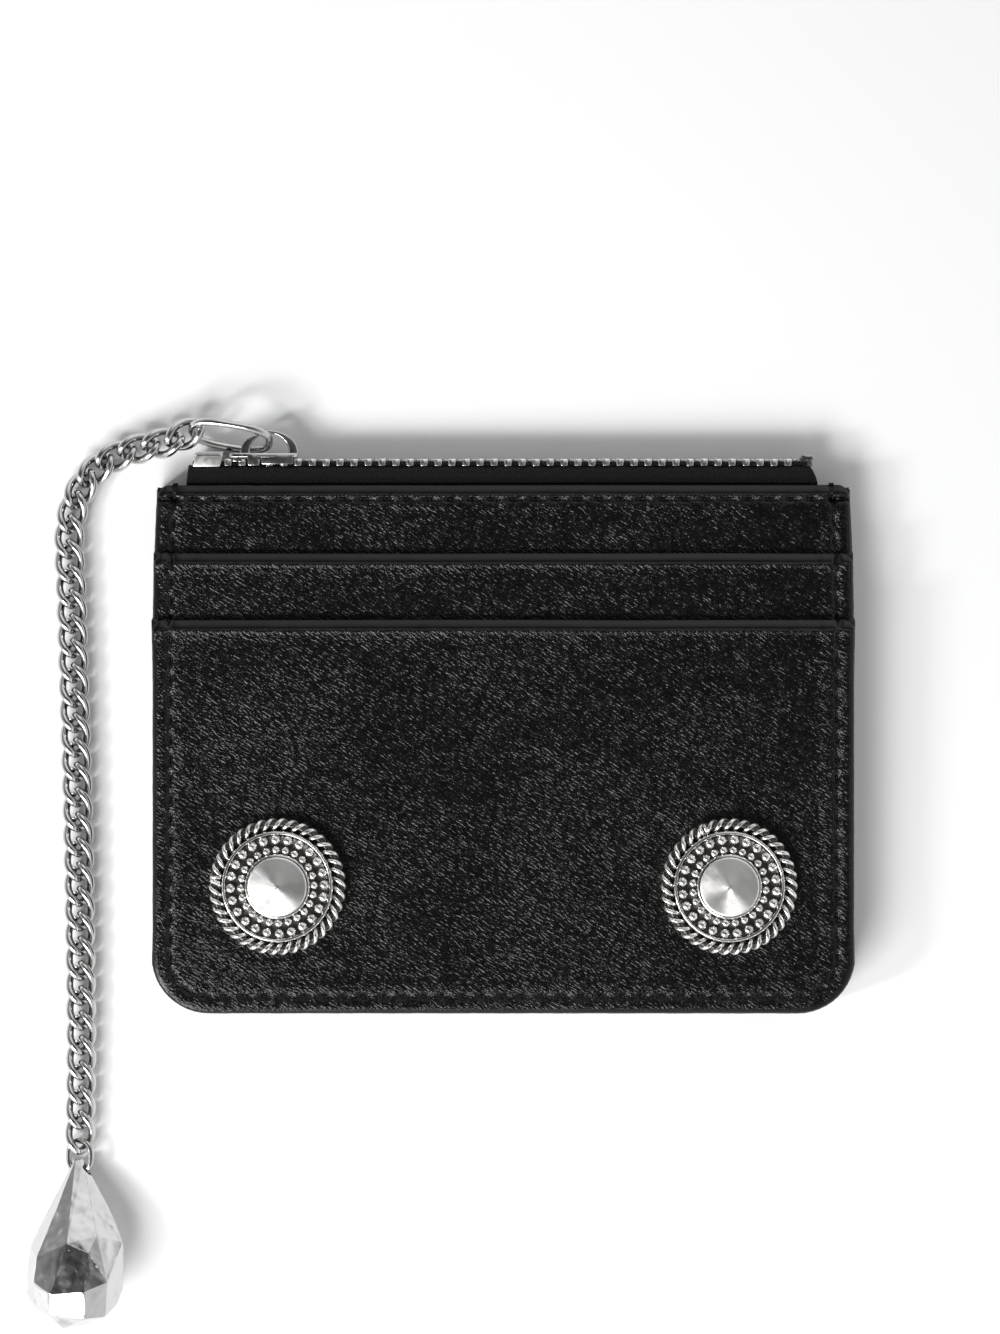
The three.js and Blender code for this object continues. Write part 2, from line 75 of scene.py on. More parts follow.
class Nodes:
    """A node tree that is built up by formulas."""

    def __init__(self, tree):
        self.tree = tree

    def node(self, kind, inputs=(), **settings):
        made = self.tree.nodes.new(kind)
        for key, value in settings.items():
            setattr(made, key, value)
        for key, value in dict(inputs).items():
            self.feed(made.inputs[key], value)
        return made

    def feed(self, socket, value):
        if isinstance(value, bpy.types.NodeSocket):
            self.tree.links.new(value, socket)
        else:
            socket.default_value = value

    def math(self, operation, a, b):
        return self.node("ShaderNodeMath", {0: a, 1: b}, operation=operation).outputs[0]

    def times(self, a, b):
        return self.math("MULTIPLY", a, b)

    def plus(self, a, b):
        return self.math("ADD", a, b)

    def ramp(self, value, low, high, to_low=0.0, to_high=1.0):
        inputs = {"Value": value, "From Min": low, "From Max": high, "To Min": to_low, "To Max": to_high}
        return self.node("ShaderNodeMapRange", inputs, interpolation_type="SMOOTHSTEP").outputs[0]


class Look(Nodes):
    """A Principled material."""

    def __init__(self, name, color, roughness, metallic=0.0, **sockets):
        self.material = bpy.data.materials.new(name)
        self.material.use_nodes = True
        super().__init__(self.material.node_tree)
        self.shader = self.tree.nodes["Principled BSDF"]
        sockets = {"Base_Color": (*color, 1), "Roughness": roughness, "Metallic": metallic, **sockets}
        for socket, value in sockets.items():
            self.surface(socket.replace("_", " "), value)
        self.place = self.node("ShaderNodeTexCoord").outputs["Object"]
        self.relief = None

    def surface(self, socket, value):
        self.feed(self.shader.inputs[socket], value)

    def mapped(self, cell, turn=0.0, source=None):
        """Coordinates in which one unit is a cell of this size in millimetres, turned about Z by degrees."""
        sizes = cell if isinstance(cell, tuple) else (cell,) * 3
        inputs = {"Vector": source or self.place, "Rotation": (0, 0, math.radians(turn))}
        turned = self.node("ShaderNodeMapping", inputs).outputs[0]
        scale = [MM / size for size in sizes]
        return self.node("ShaderNodeMapping", {"Vector": turned, "Scale": scale}).outputs[0]

    def noise(self, cell, detail=3.0, distortion=0.0, turn=0.0, source=None, output=0):
        inputs = {"Vector": self.mapped(cell, turn, source), "Scale": 1.0, "Detail": detail}
        return self.node("ShaderNodeTexNoise", {**inputs, "Distortion": distortion}).outputs[output]

    def cracks(self, cell, turn, source):
        """Distance to the nearest edge between irregular cells."""
        inputs = {"Vector": self.mapped(cell, turn, source), "Scale": 1.0}
        return self.node("ShaderNodeTexVoronoi", inputs, feature="DISTANCE_TO_EDGE").outputs["Distance"]

    def bands(self, cell, turn, distortion):
        inputs = {"Vector": self.mapped(cell, turn), "Scale": 0.5, "Distortion": distortion, "Detail": 1.0}
        return self.node("ShaderNodeTexWave", inputs).outputs["Fac"]

    def mix(self, factor, a, b):
        """Colour a at 0 and b at 1, each three numbers or a node's output."""
        a, b = ((*color, 1) if isinstance(color, tuple) else color for color in (a, b))
        return self.node("ShaderNodeMix", {0: factor, 6: a, 7: b}, data_type="RGBA").outputs[2]

    def attribute(self, name):
        return self.node("ShaderNodeAttribute", attribute_name=name).outputs["Fac"]

    def bump(self, height, depth):
        """Adds relief of this depth in millimetres, on top of what is there."""
        inputs = {"Height": height, "Distance": depth / MM, "Strength": 1.0}
        if self.relief:
            inputs["Normal"] = self.relief
        self.relief = self.node("ShaderNodeBump", inputs).outputs[0]
        self.surface("Normal", self.relief)


def leather_look(name, grain=1.0, smooth=None):
    """Black glazed leather: a pebble drawn out down to the right, wrinkles where it is puckered, and painted
    shade in the crease valleys.
    """
    look = Look(name, (0.004, 0.004, 0.0044), 0.3, Specular_IOR_Level=0.31)
    puckers = smooth is None
    if puckers:
        # 1 on a smooth turned edge, 0 on open leather and below 0 where it is puckered
        smooth = look.attribute("smooth")
    wander = look.noise(2.6, 2.0)
    slip = {0: look.noise(3.1, 2.0, output="Color"), "Scale": 0.55 / MM}
    slip = look.node("ShaderNodeVectorMath", slip, operation="SCALE").outputs[0]
    moved = look.node("ShaderNodeVectorMath", {0: look.place, 1: slip}, operation="ADD").outputs[0]
    crease = look.ramp(look.cracks((1.75, 0.52, 0.9), 33, moved), 0.0, 0.45)
    fine = look.ramp(look.cracks((0.62, 0.36, 0.5), 24, moved), 0.0, 0.42)
    both = look.plus(look.times(crease, 0.62), look.times(fine, 0.38))
    patch = look.ramp(look.noise((16, 13, 16), 2.0), 0.3, 0.7)
    open_part = look.math("MINIMUM", look.math("SUBTRACT", 1.0, smooth), 1.15)
    amount = look.times(open_part, look.ramp(patch, 0, 1, 0.8, 1.05))
    look.bump(look.times(look.noise((5.2, 1.5, 3.0), 3.0, 0.5, 30), open_part), 0.1 * grain)
    look.bump(look.times(both, amount), 0.085 * grain)
    look.bump(look.times(look.noise((0.16, 0.13, 0.16), 2.0), amount), 0.004 * grain)
    if puckers:
        wrinkled = look.ramp(look.times(smooth, -1.0), -1.0, 1.2)
        wrinkles = look.noise((0.66, 0.42, 0.62), 2.0, 0.6, 28, moved)
        look.bump(look.times(wrinkles, wrinkled), 0.115)
    valley = look.times(look.math("SUBTRACT", 1.0, both), amount)
    shade = look.mix(look.ramp(wander, 0.3, 0.7), (0.0018, 0.0018, 0.002), (0.0036, 0.0036, 0.0039))
    # painted shade: the crease valleys are coloured darker
    look.surface("Base Color", look.mix(look.ramp(valley, 0.1, 0.9), shade, (0.0009, 0.0009, 0.001)))
    worn = look.plus(look.ramp(wander, 0.25, 0.75, 0.2, 0.24), look.times(valley, 0.06))
    look.surface("Roughness", look.plus(worn, look.times(smooth, 0.03)))
    return look.material


def metal_look(
    name, color, roughness, spots=0.05, relief=0.0, cell=0.7, stain=None, painted_inner_shade=None, turned=False, **sockets
):
    """Polished metal with wear in its gloss, stain in patches, or painted shade where "inner" is near 1."""
    look = Look(name, color, roughness, 1.0, **sockets)
    wear = look.noise(cell, 5.0, 0.3)
    scratches = look.noise((cell * 4, cell * 0.09, cell * 0.5), 3.0, 0.1, 38)
    both = look.plus(look.ramp(wear, 0.35, 0.7), look.ramp(scratches, 0.52, 0.72))
    look.surface("Roughness", look.ramp(both, 0.0, 1.4, roughness - spots, roughness + 1.6 * spots))
    if stain:
        look.surface("Base Color", look.mix(look.ramp(look.noise(cell * 3, 4.0), 0.42, 0.72), color, stain))
    # painted shade: the colour goes darker where "inner" is near 1
    if painted_inner_shade:
        look.surface("Base Color", look.mix(look.ramp(look.attribute("inner"), 0.4, 0.95), color, painted_inner_shade))
    if turned:
        around = look.node("ShaderNodeTangent", direction_type="RADIAL", axis="Z")
        look.surface("Tangent", around.outputs[0])
    else:
        look.bump(scratches, 0.0022)
    if relief:
        look.bump(look.noise(cell * 2.2, 2.0), relief)
    return look.material


def cloth_look(name, color, cell, relief):
    """A close twill: bright threads over dark, in slanting ribs."""
    look = Look(name, color, 0.6, Specular_IOR_Level=0.2)
    ribs, threads = look.bands(cell, 38, 0.4), look.bands(cell * 0.8, -52, 0.6)
    weave = look.times(look.plus(ribs, 0.35), look.plus(threads, 0.45))
    fuzz = look.noise(0.12, 2.0)
    look.bump(weave, relief)
    look.bump(fuzz, 0.03)
    dark = tuple(c * 0.35 for c in color)
    look.surface("Base Color", look.mix(look.ramp(weave, 0.2, 1.4), dark, color))
    look.surface("Roughness", look.ramp(fuzz, 0.3, 0.7, 0.42, 0.7))
    return look.material


def thread_look(name):
    look = Look(name, (0.004, 0.004, 0.0045), 0.5, Specular_IOR_Level=0.2)
    fibres = look.noise((0.5, 0.07, 0.07), 3.0, 0.4)
    look.bump(fibres, 0.03)
    look.surface("Base Color", look.mix(fibres, (0.0015, 0.0015, 0.0018), (0.005, 0.005, 0.0055)))
    look.surface("Roughness", look.ramp(fibres, 0.3, 0.7, 0.34, 0.56))
    return look.material


LEATHER = leather_look("black_leather")
EDGE = leather_look("painted_edge", 0.25, 0.85)
THREAD = thread_look("waxed_thread")
TAPE = cloth_look("zip_tape_twill", (0.0045, 0.0045, 0.005), 0.62, 0.3)
LINING = cloth_look("lining_twill", (0.02, 0.02, 0.022), 0.4, 0.05)
NICKEL = metal_look("polished_nickel", (0.54, 0.535, 0.53), 0.17, 0.04)
# the chain's links get painted shade on the inner side of their wire
CHAIN = metal_look("chain_nickel", (0.56, 0.555, 0.55), 0.17, 0.04, painted_inner_shade=(0.16, 0.16, 0.16))
CLIP = metal_look("brushed_nickel", (0.82, 0.815, 0.8), 0.42, 0.05)
TEETH = metal_look("zip_teeth_metal", (0.8, 0.79, 0.77), 0.24, 0.06, cell=0.4)
SILVER = metal_look("polished_silver", (0.56, 0.56, 0.565), 0.2, 0.035, 0.16, 1.7)
CONE = metal_look("turned_silver", (0.8, 0.795, 0.785), 0.3, 0.02, cell=1.2, turned=True, Anisotropic=0.85)
ANTIQUE = metal_look("antique_silver", (0.8, 0.79, 0.775), 0.27, 0.06, 0.012, 0.5, (0.5, 0.49, 0.47))
OXIDE = metal_look("oxidised_recess", (0.09, 0.088, 0.084), 0.42, 0.1, 0.05, 0.4)

# ---- Mesh helpers ----


def make(name, points, faces, looks, slot, nodes=(), body="wallet", sharp=None):
    """A smooth shaded object that rides on a body. Edges steeper than sharp degrees are kept sharp."""
    mesh = bpy.data.meshes.new(name)
    mesh.from_pydata([(p[0] / MM, p[1] / MM, p[2] / MM) for p in points], [], faces)
    for look in looks:
        mesh.materials.append(look)
    mesh.polygons.foreach_set("use_smooth", [True] * len(mesh.polygons))
    if sharp:
        mesh.set_sharp_from_angle(angle=math.radians(sharp))
    mesh.update()
    obj = bpy.data.objects.new(name, mesh)
    bpy.context.scene.collection.objects.link(obj)
    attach(obj, body)
    if nodes:
        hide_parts(*nodes)
    return obj


def point_values(obj, name, values):
    obj.data.attributes.new(name, "FLOAT", "POINT").data.foreach_set("value", values)


def grid(rows, cols):
    """Faces of a grid of points, and the numbers of the points round its rim."""
    corners = [r * cols + c for r in range(rows - 1) for c in range(cols - 1)]
    faces = [(a, a + 1, a + cols + 1, a + cols) for a in corners]
    rim = list(range(cols)) + [r * cols + cols - 1 for r in range(1, rows)]
    rim += [(rows - 1) * cols + c for c in range(cols - 2, -1, -1)]
    return faces, rim + [r * cols for r in range(rows - 2, 0, -1)]


class Shape:
    """Points and faces that several small forms are gathered in. Each face has the number of its look."""

    def __init__(self):
        self.points, self.faces, self.looks = [], [], []

    def add(self, points, faces, look=0):
        start = len(self.points)
        self.points.extend(points)
        self.faces.extend([tuple(i + start for i in face) for face in faces])
        self.looks.extend(look if isinstance(look, list) else [look] * len(faces))

    def rings(self, rings, closed=False, look=0):
        """A skin over rings of equal length. closed joins the last to the first, and open ends get caps."""
        count, width = len(rings), len(rings[0])
        faces = []
        for i in range(count if closed else count - 1):
            a, b = i * width, ((i + 1) % count) * width
            for k in range(width):
                n = (k + 1) % width
                faces.append((a + k, a + n, b + n, b + k))
        if not closed:
            faces.append(tuple(range(width))[::-1])
            faces.append(tuple(range((count - 1) * width, count * width)))
        self.add([p for ring in rings for p in ring], faces, look)

    def piece(self, name, looks, slot, nodes=(), **rest):
        obj = make(name, self.points, self.faces, looks, slot, nodes, **rest)
        obj.data.polygons.foreach_set("material_index", self.looks)
        return obj


def round_z(turn, radius=1.0, up=0.0):
    """The point at this angle round Z."""
    return Vector((radius * math.cos(turn), radius * math.sin(turn), up))


def tube(path, radius, sides, closed=False, normals=None, taper=None):
    """Rings of a round tube along a path. Normals default to ones carried along it."""
    path = [Vector(p) for p in path]
    count = len(path)
    rings, normal = [], None
    for i, point in enumerate(path):
        before = path[i - 1] if closed or i else path[0]
        after = path[(i + 1) % count] if closed or i < count - 1 else path[-1]
        along = (after - before).normalized()
        if normals:
            normal = normals[i]
        elif normal is None:
            normal = along.orthogonal()
        normal = (normal - along * normal.dot(along)).normalized()
        side = along.cross(normal)
        size = radius * (taper[i] if taper else 1.0)
        turns = [TAU * k / sides for k in range(sides)]
        rings.append([point + (normal * math.cos(a) + side * math.sin(a)) * size for a in turns])
    return rings


def turned(shape, profile, segments, centre, band=(1, 0)):
    """Adds a turned form. Its profile of (radius, height) starts and ends on the axis.

    Faces between the two radii of band get the second look.
    """
    width = len(profile) - 2
    points = [centre + round_z(TAU * i / segments, r, z) for i in range(segments) for r, z in profile[1:-1]]
    points += [centre + Vector((0, 0, profile[end][1])) for end in (0, -1)]
    first, last = len(points) - 2, len(points) - 1
    faces, looks = [], []
    for i in range(segments):
        a, b = i * width, (i + 1) % segments * width
        for k in range(width - 1):
            faces.append((a + k, b + k, b + k + 1, a + k + 1))
            looks.append(int(band[0] <= (profile[k + 1][0] + profile[k + 2][0]) / 2 <= band[1]))
        faces += [(first, b, a), (last, a + width - 1, b + width - 1)]
        looks += [0, 0]
    shape.add(points, faces, looks)


def value_noise(x, y, cell, seed):
    """Smooth random heights from -1 to 1, on arrays of coordinates."""
    size = 97
    table = np.random.RandomState(seed).uniform(-1, 1, (size, size))
    u, v = x / cell + 31.7, y / cell + 43.1
    i, j = np.floor(u).astype(int), np.floor(v).astype(int)
    u, v = u - i, v - j
    u, v = u * u * (3 - 2 * u), v * v * (3 - 2 * v)
    i, j, right, above = i % size, j % size, (i + 1) % size, (j + 1) % size
    low = table[i, j] * (1 - u) + table[right, j] * u
    high = table[i, above] * (1 - u) + table[right, above] * u
    return low * (1 - v) + high * v


def bell(x, centre, width):
    return np.exp(-(((x - centre) / width) ** 2))


def soft_step(x, low, high):
    t = np.clip((x - low) / (high - low), 0, 1)
    return t * t * (3 - 2 * t)


# ---- Leather body ----

PANELS = ("upper_slot_panel", "middle_slot_panel", "front_panel", "back_panel")
UPPER, MIDDLE, FRONT, BACK = (box(node) for node in PANELS)
HALF_WIDTH = BACK[1].x
BOTTOM = BACK[0].y
CORNER = 8.5
STITCH_INSET = 2.5
TOP_STITCH = 2.15
CONCHOS = {}
for side in ("left", "right"):
    low, high = box(f"{side}_concho_plate")
    CONCHOS[side] = Vector(((low.x + high.x) / 2, (low.y + high.y) / 2, high.z))

# How far in from an edge the rows of a panel's mesh are, where they are close together
FINE_EDGE = [0, 0.05, 0.14, 0.28, 0.46, 0.7, 1.0, 1.35, 1.75]
FINE_EDGE += [2.15, 2.45, 2.7, 2.95, 3.2, 3.5, 3.9, 4.4, 4.95]
FINE_TOP = [0, 0.04, 0.12, 0.26, 0.45, 0.7, 0.98, 1.25, 1.46, 1.62, 1.78, 1.95, 2.15, 2.35, 2.6, 3.0, 3.5]


def pull_in(y):
    """How much narrower the stack is at this height: it fills out where the panels start."""
    y = np.asarray(y, float)
    top = UPPER[1].y
    upper = 0.25 + 0.5 * np.clip((y - MIDDLE[1].y) / (top - MIDDLE[1].y), 0, 1) ** 1.7
    middle = 0.08 + 0.12 * np.clip((y - FRONT[1].y) / (MIDDLE[1].y - FRONT[1].y), 0, 1)
    front = 0.16 * soft_step(FRONT[1].y - y, 0.2, 9) * soft_step(y - BOTTOM, 2, 14)
    return np.where(y > MIDDLE[1].y, upper, np.where(y > FRONT[1].y, middle, front))


def half_width(y):
    y = np.asarray(y, float)
    lift = np.clip(CORNER - (y - BOTTOM), 0, CORNER)
    return HALF_WIDTH - CORNER + np.sqrt(np.maximum(CORNER**2 - lift**2, 0)) - pull_in(y)


def edge_distance(x, y):
    """Distance in from the sides and bottom of the outline."""
    side = HALF_WIDTH - pull_in(y) - np.abs(x)
    across = np.abs(x) - (HALF_WIDTH - pull_in(y) - CORNER)
    down = BOTTOM + CORNER - y
    corner = CORNER - np.hypot(np.maximum(across, 0), np.maximum(down, 0))
    straight = np.minimum(side, y - BOTTOM)
    return np.where((across > 0) & (down > 0), corner, straight)


def spread(first, last, fine_first, fine_last, step):
    """Positions from first to last, closer together at either end."""
    start = [first + d for d in fine_first]
    end = [last - d for d in fine_last][::-1]
    count = max(1, round((end[0] - start[-1]) / step))
    middle = np.linspace(start[-1], end[0], count + 1)[1:-1]
    return np.array(start + list(middle) + end)


def outline_path(inset, top, step):
    """Points of the outline from the top left, down, round the bottom and up to the top right."""
    ys = list(np.arange(top, BOTTOM + CORNER, -step)) + [BOTTOM + CORNER]
    right = [(HALF_WIDTH - float(pull_in(y)) - inset, float(y)) for y in ys]
    middle_x = HALF_WIDTH - CORNER - float(pull_in(BOTTOM + 1))
    for i in range(1, 13):
        point = round_z(-math.pi / 2 * i / 12, CORNER - inset)
        right.append((middle_x + point.x, BOTTOM + CORNER + point.y))
    left = [(-x, y) for x, y in right]
    reach = right[-1][0]
    count = max(2, int(2 * reach / step))
    flat = [(-reach + 2 * reach * i / count, BOTTOM + inset) for i in range(1, count)]
    return left + flat + right[::-1]


def along_path(path, pitch):
    """Points at equal steps along a polyline, about this pitch apart."""
    lengths = [0.0]
    for (ax, ay), (bx, by) in zip(path, path[1:]):
        lengths.append(lengths[-1] + math.hypot(bx - ax, by - ay))
    at = np.linspace(0, lengths[-1], round(lengths[-1] / pitch) + 1)
    xs, ys = (np.interp(at, lengths, [p[i] for p in path]) for i in (0, 1))
    return list(zip(xs, ys))


SEAM_HOLES = along_path(outline_path(STITCH_INSET, UPPER[1].y - 1.0, 0.4), 2.95)
SEAM_X = HALF_WIDTH - float(pull_in(UPPER[1].y)) - STITCH_INSET
TOP_REACH = SEAM_X - 1.3
TOP_Y = UPPER[1].y - TOP_STITCH
TOP_HOLES = along_path([(-TOP_REACH, TOP_Y), (TOP_REACH, TOP_Y)], 3.15)


def near_holes(x, y, holes, reach):
    """1 at a stitch hole and 0 away from all of them."""
    near = np.full(np.shape(x), 1e9)
    for hx, hy in holes:
        near = np.minimum(near, (x - hx) ** 2 + (y - hy) ** 2)
    return np.exp(-near / reach**2)


class Panel:
    """One leather panel: a relief on its face, rounded edges and a plain back."""

    def __init__(self, node, seed, depth, under=False):
        self.node, self.seed, self.depth = node, seed, depth
        low, high = box(node)
        self.top, self.under = high.y, under
        self.face = low.z if under else high.z

    def relief(self, x, y):
        """Height of the face over its CAD plane."""
        d, t, seed = edge_distance(x, y), self.top - y, self.seed
        radius = 0.5
        z = np.sqrt(np.maximum(radius**2 - np.maximum(radius - d, 0) ** 2, 0)) - radius
        pucker = near_holes(x, y, SEAM_HOLES, 0.6)
        z += 0.10 * bell(d, 1.2, 0.8) + 0.08 * bell(d, 4.0, 0.9)
        z += 0.18 * pucker * bell(d, STITCH_INSET, 0.8)
        z -= (0.62 - 0.6 * pucker) * bell(d, STITCH_INSET, 0.34)
        z -= 0.07 * bell(d, 5.6, 0.35) * soft_step(x, 20, 40)
        z += 0.10 * soft_step(d, 5, 22)
        fold = np.clip(1 - t / 1.55, 0, 1)
        z -= 0.62 * fold**2.1
        z += 0.17 * (1 - soft_step(t, 1.7, 2.2)) - 0.08 * bell(t, 1.45, 0.14)
        z += 0.075 * value_noise(x, y, 9, seed) + 0.03 * value_noise(x, y, 3.6, seed + 1)
        z += 0.02 * value_noise(x + 0.6 * y, (y - 0.6 * x) * 2.4, 3.0, seed + 2) * soft_step(d, 1, 5)
        if self.node == "upper_slot_panel":
            pucker = near_holes(x, y, TOP_HOLES, 0.66)
            z += 0.16 * pucker * bell(t, TOP_STITCH, 0.7)
            z -= (0.6 - 0.58 * pucker) * bell(t, TOP_STITCH, 0.3)
            z += 0.09 * bell(t, 3.1, 0.5)
        if self.node == "front_panel":
            for at in CONCHOS.values():
                r = np.hypot(x - at.x, y - at.y)
                turn = np.arctan2(y - at.y, x - at.x)
                z -= 0.16 * bell(r, 7.5, 3.4)
                z += 0.05 * np.sin(turn * 13 + 2 * np.sin(turn * 3 + seed)) * bell(r, 11.5, 2.6)
        return z

    def height(self, x, y):
        z = self.relief(np.asarray(x, float), np.asarray(y, float))
        return 0.3 - z if self.under else self.face + z

    def build(self, name, rows_from=None, step=0.62):
        """Makes the panel. Below rows_from it is hidden, and its mesh is coarse there."""
        ends = [d / HALF_WIDTH for d in FINE_EDGE]
        xs = spread(-1, 1, ends, ends, step / HALF_WIDTH)
        if rows_from is None:
            ys = spread(BOTTOM, self.top, FINE_EDGE, FINE_TOP, step)
        else:
            hidden = spread(BOTTOM, rows_from, [0, 0.5, 1.5, 3, 5, 8], [0], 4.0)
            ys = np.concatenate([hidden, spread(rows_from, self.top, [step], FINE_TOP, step)])
        y = np.repeat(ys[:, None], len(xs), 1)
        x = xs[None, :] * half_width(ys)[:, None]
        z = self.relief(x, y)
        d, t = edge_distance(x, y), self.top - y
        # the top edge is a little uneven, and its corners are rounded off
        corner = soft_step(1.4 - (HALF_WIDTH - pull_in(y) - np.abs(x)), 0, 1.4)
        uneven = 0.05 * value_noise(x, y * 0, 14, self.seed + 5) * bell(t, 0, 3)
        y = y - 0.55 * corner * bell(t, 0, 1.2) + uneven
        fold = 1 - soft_step(t, 1.25, 1.6)
        smooth = np.maximum(fold, 1 - soft_step(d, 0.35, 0.9))
        # the leather is puckered under the fold, along the seam and in the lower left corner
        left = 1 - 0.75 * soft_step(x, -42, 6)
        pucker = 2.2 * bell(t, 2.1, 0.5) * left
        pucker += 0.9 * bell(d, STITCH_INSET + 1.1, 0.8) * left + 0.5 * bell(d, STITCH_INSET, 0.9)
        if self.node == "front_panel":
            pucker += 1.4 * bell(np.hypot(x + 42, y - BOTTOM - 8), 0, 9)
        smooth = smooth - pucker * (1 - fold)
        points = [tuple(p) for p in np.stack([x, y, z], -1).reshape(-1, 3)]
        faces, rim = grid(*x.shape)
        previous, border = rim, [points[i] for i in rim]
        for inset, up in ((0.0, 0.35), (0.12, 0.1), (0.4, 0)):
            ring = list(range(len(points), len(points) + len(rim)))
            for px, py, _ in border:
                lift = inset if py < 0 else -inset
                points.append((px - math.copysign(inset, px), py + lift, up - self.depth))
            for k, i in enumerate(ring):
                n = (k + 1) % len(ring)
                faces.append((previous[k], i, ring[n], previous[n]))
            previous = ring
        faces.append(tuple(previous[::-1]))
        if self.under:
            points = [(px, py, 0.3 - pz) for px, py, pz in points]
            faces = [face[::-1] for face in faces]
        else:
            points = [(px, py, self.face + pz) for px, py, pz in points]
        obj = make(name, points, faces, [LEATHER], "leather", [self.node])
        values = np.ones(len(points), np.float32)
        values[: x.size] = smooth.reshape(-1)
        point_values(obj, "smooth", values)


front = Panel("front_panel", 11, 1.0)
middle = Panel("middle_slot_panel", 23, 0.8)
upper = Panel("upper_slot_panel", 37, 0.9)
back = Panel("back_panel", 51, 0.95, under=True)
front.build("front_leather")
middle.build("middle_leather", 16.0)
upper.build("upper_leather", 26.0)
back.build("back_leather")


def outermost(y):
    """The panel that is seen at this distance up the wallet."""
    if y > MIDDLE[1].y:
        return upper
    return middle if y > FRONT[1].y else front


def painted_edge():
    """The glued and painted edge of all the layers, round three sides."""
    path = outline_path(0, UPPER[1].y - 0.35, 0.5)
    rings = []
    for i, (x, y) in enumerate(path):
        ax, ay = path[max(i - 1, 0)]
        bx, by = path[min(i + 1, len(path) - 1)]
        run = math.hypot(bx - ax, by - ay) or 1
        out = ((by - ay) / run, -(bx - ax) / run)
        high = outermost(y).face - 0.42
        wave = 0.03 * math.sin(i * 0.37) + 0.02 * math.sin(i * 1.13)
        profile = []
        for k in range(11):
            a = math.pi * (k / 10 - 0.5)
            push = 0.02 + (0.16 + wave) * math.cos(a)
            profile.append((push, (high + 0.3) / 2 + (high - 0.3) / 2 * math.sin(a)))
        profile += [(-0.9, high - 0.05), (-0.9, 0.35)]
        rings.append([(x + out[0] * push, y + out[1] * push, z) for push, z in profile])
    shape = Shape()
    shape.rings(rings)
    shape.piece("edge_paint", [EDGE], "leather")


painted_edge()


def stand_on(x, y):
    """Height of the leather that is seen at this place."""
    return float(outermost(y).height(x, y))


def under_side(x, y):
    return float(back.height(x, y))


# ---- Stitches ----

PLY = 0.15


def stitches(shape, holes, surface, down, seed):
    """A row of two-ply stitches from hole to hole. down is -1 on the front and 1 on the underside."""
    chance = np.random.RandomState(seed)
    steps = 13
    for (ax, ay), (bx, by) in zip(holes, holes[1:]):
        run = math.hypot(bx - ax, by - ay)
        ux, uy = (bx - ax) / run, (by - ay) / run
        tilt = chance.uniform(-0.05, 0.05) - 0.09
        span = 0.40 * chance.uniform(0.94, 1.02)
        line = []
        for k in range(steps):
            s = 2 * k / (steps - 1) - 1
            x = (ax + bx) / 2 + ux * s * span * run - uy * tilt * s
            y = (ay + by) / 2 + uy * s * span * run + ux * tilt * s
            rise = -0.1 + 0.1 * (1 - abs(s) ** 3) - 0.4 * max(abs(s) - 0.75, 0) / 0.25
            line.append(Vector((x, y, surface(x, y) - down * rise)))
        for _ in range(2):
            before = [point.z for point in line]
            for i in range(2, steps - 2):
                line[i].z = (before[i - 1] + before[i] * 2 + before[i + 1]) / 4
        phase = chance.uniform(0, TAU)
        side, up = Vector((-uy, ux, 0)) * (PLY * 0.8), Vector((0, 0, PLY * 0.8))
        for ply in range(2):
            turns = [phase + math.pi * ply + TAU * 2.0 * k / (steps - 1) for k in range(steps)]
            strand = [point + side * math.cos(a) + up * math.sin(a) for point, a in zip(line, turns)]
            shape.rings(tube(strand, PLY, 7, taper=[0.75] + [1.0] * (steps - 2) + [0.75]))


def over_edge(shape, x):
    """Where the seam ends, its thread is wrapped twice over the top edge."""
    top = UPPER[1].y
    on_face = ((-1.5, -0.1), (-1.2, 0.2), (-0.7, 0.2), (-0.2, 0.02))
    for step in (-0.17, 0.17):
        line = [(y, stand_on(x, top + y) + up) for y, up in on_face]
        line += [(y, UPPER[1].z - 0.3 + up) for y, up in ((0.08, -0.3), (0.2, -0.8), (0.2, -1.6))]
        line = [(x + step * (1 + 0.3 * y), top + y, z) for y, z in line]
        shape.rings(tube(line, 0.2, 9))


seam, top_row, under = Shape(), Shape(), Shape()
stitches(seam, SEAM_HOLES, stand_on, -1, 3)
over_edge(seam, -SEAM_X)
over_edge(seam, SEAM_X)
seam.piece("seam_stitches", [THREAD], "thread", ["perimeter_thread"])
stitches(top_row, TOP_HOLES, stand_on, -1, 5)
top_row.piece("top_stitches", [THREAD], "thread", ["top_thread"])
stitches(under, SEAM_HOLES, under_side, 1, 7)
# the table holds these up
under.points = [Vector((p.x, p.y, max(p.z, 0.004))) for p in under.points]
under.piece("underside_stitches", [THREAD], "thread")

# ---- Linings ----


def lining(name, node, seed):
    low, high = box(node)
    xs, ys = np.linspace(low.x, high.x, 110), np.linspace(low.y + CORNER - 0.8, high.y, 60)
    x, y = np.meshgrid(xs, ys)
    middle_z = (low.z + high.z) / 2 + 0.06 * value_noise(x, y, 11, seed)
    thick = (high.z - low.z) / 2 - 0.05
    skins = [np.stack([x, y, middle_z + side * thick], -1).reshape(-1, 3) for side in (-1, 1)]
    faces, rim = grid(*x.shape)
    faces = [tuple(i + x.size for i in face) for face in faces] + [face[::-1] for face in faces]
    for k, i in enumerate(rim):
        n = rim[(k + 1) % len(rim)]
        faces.append((i, n, x.size + n, x.size + i))
    make(name, np.concatenate(skins), faces, [LINING], "lining", [node])


lining("back_pocket_lining", "back_lining", 61)
lining("front_pocket_lining", "front_lining", 67)

# ---- Zip ----

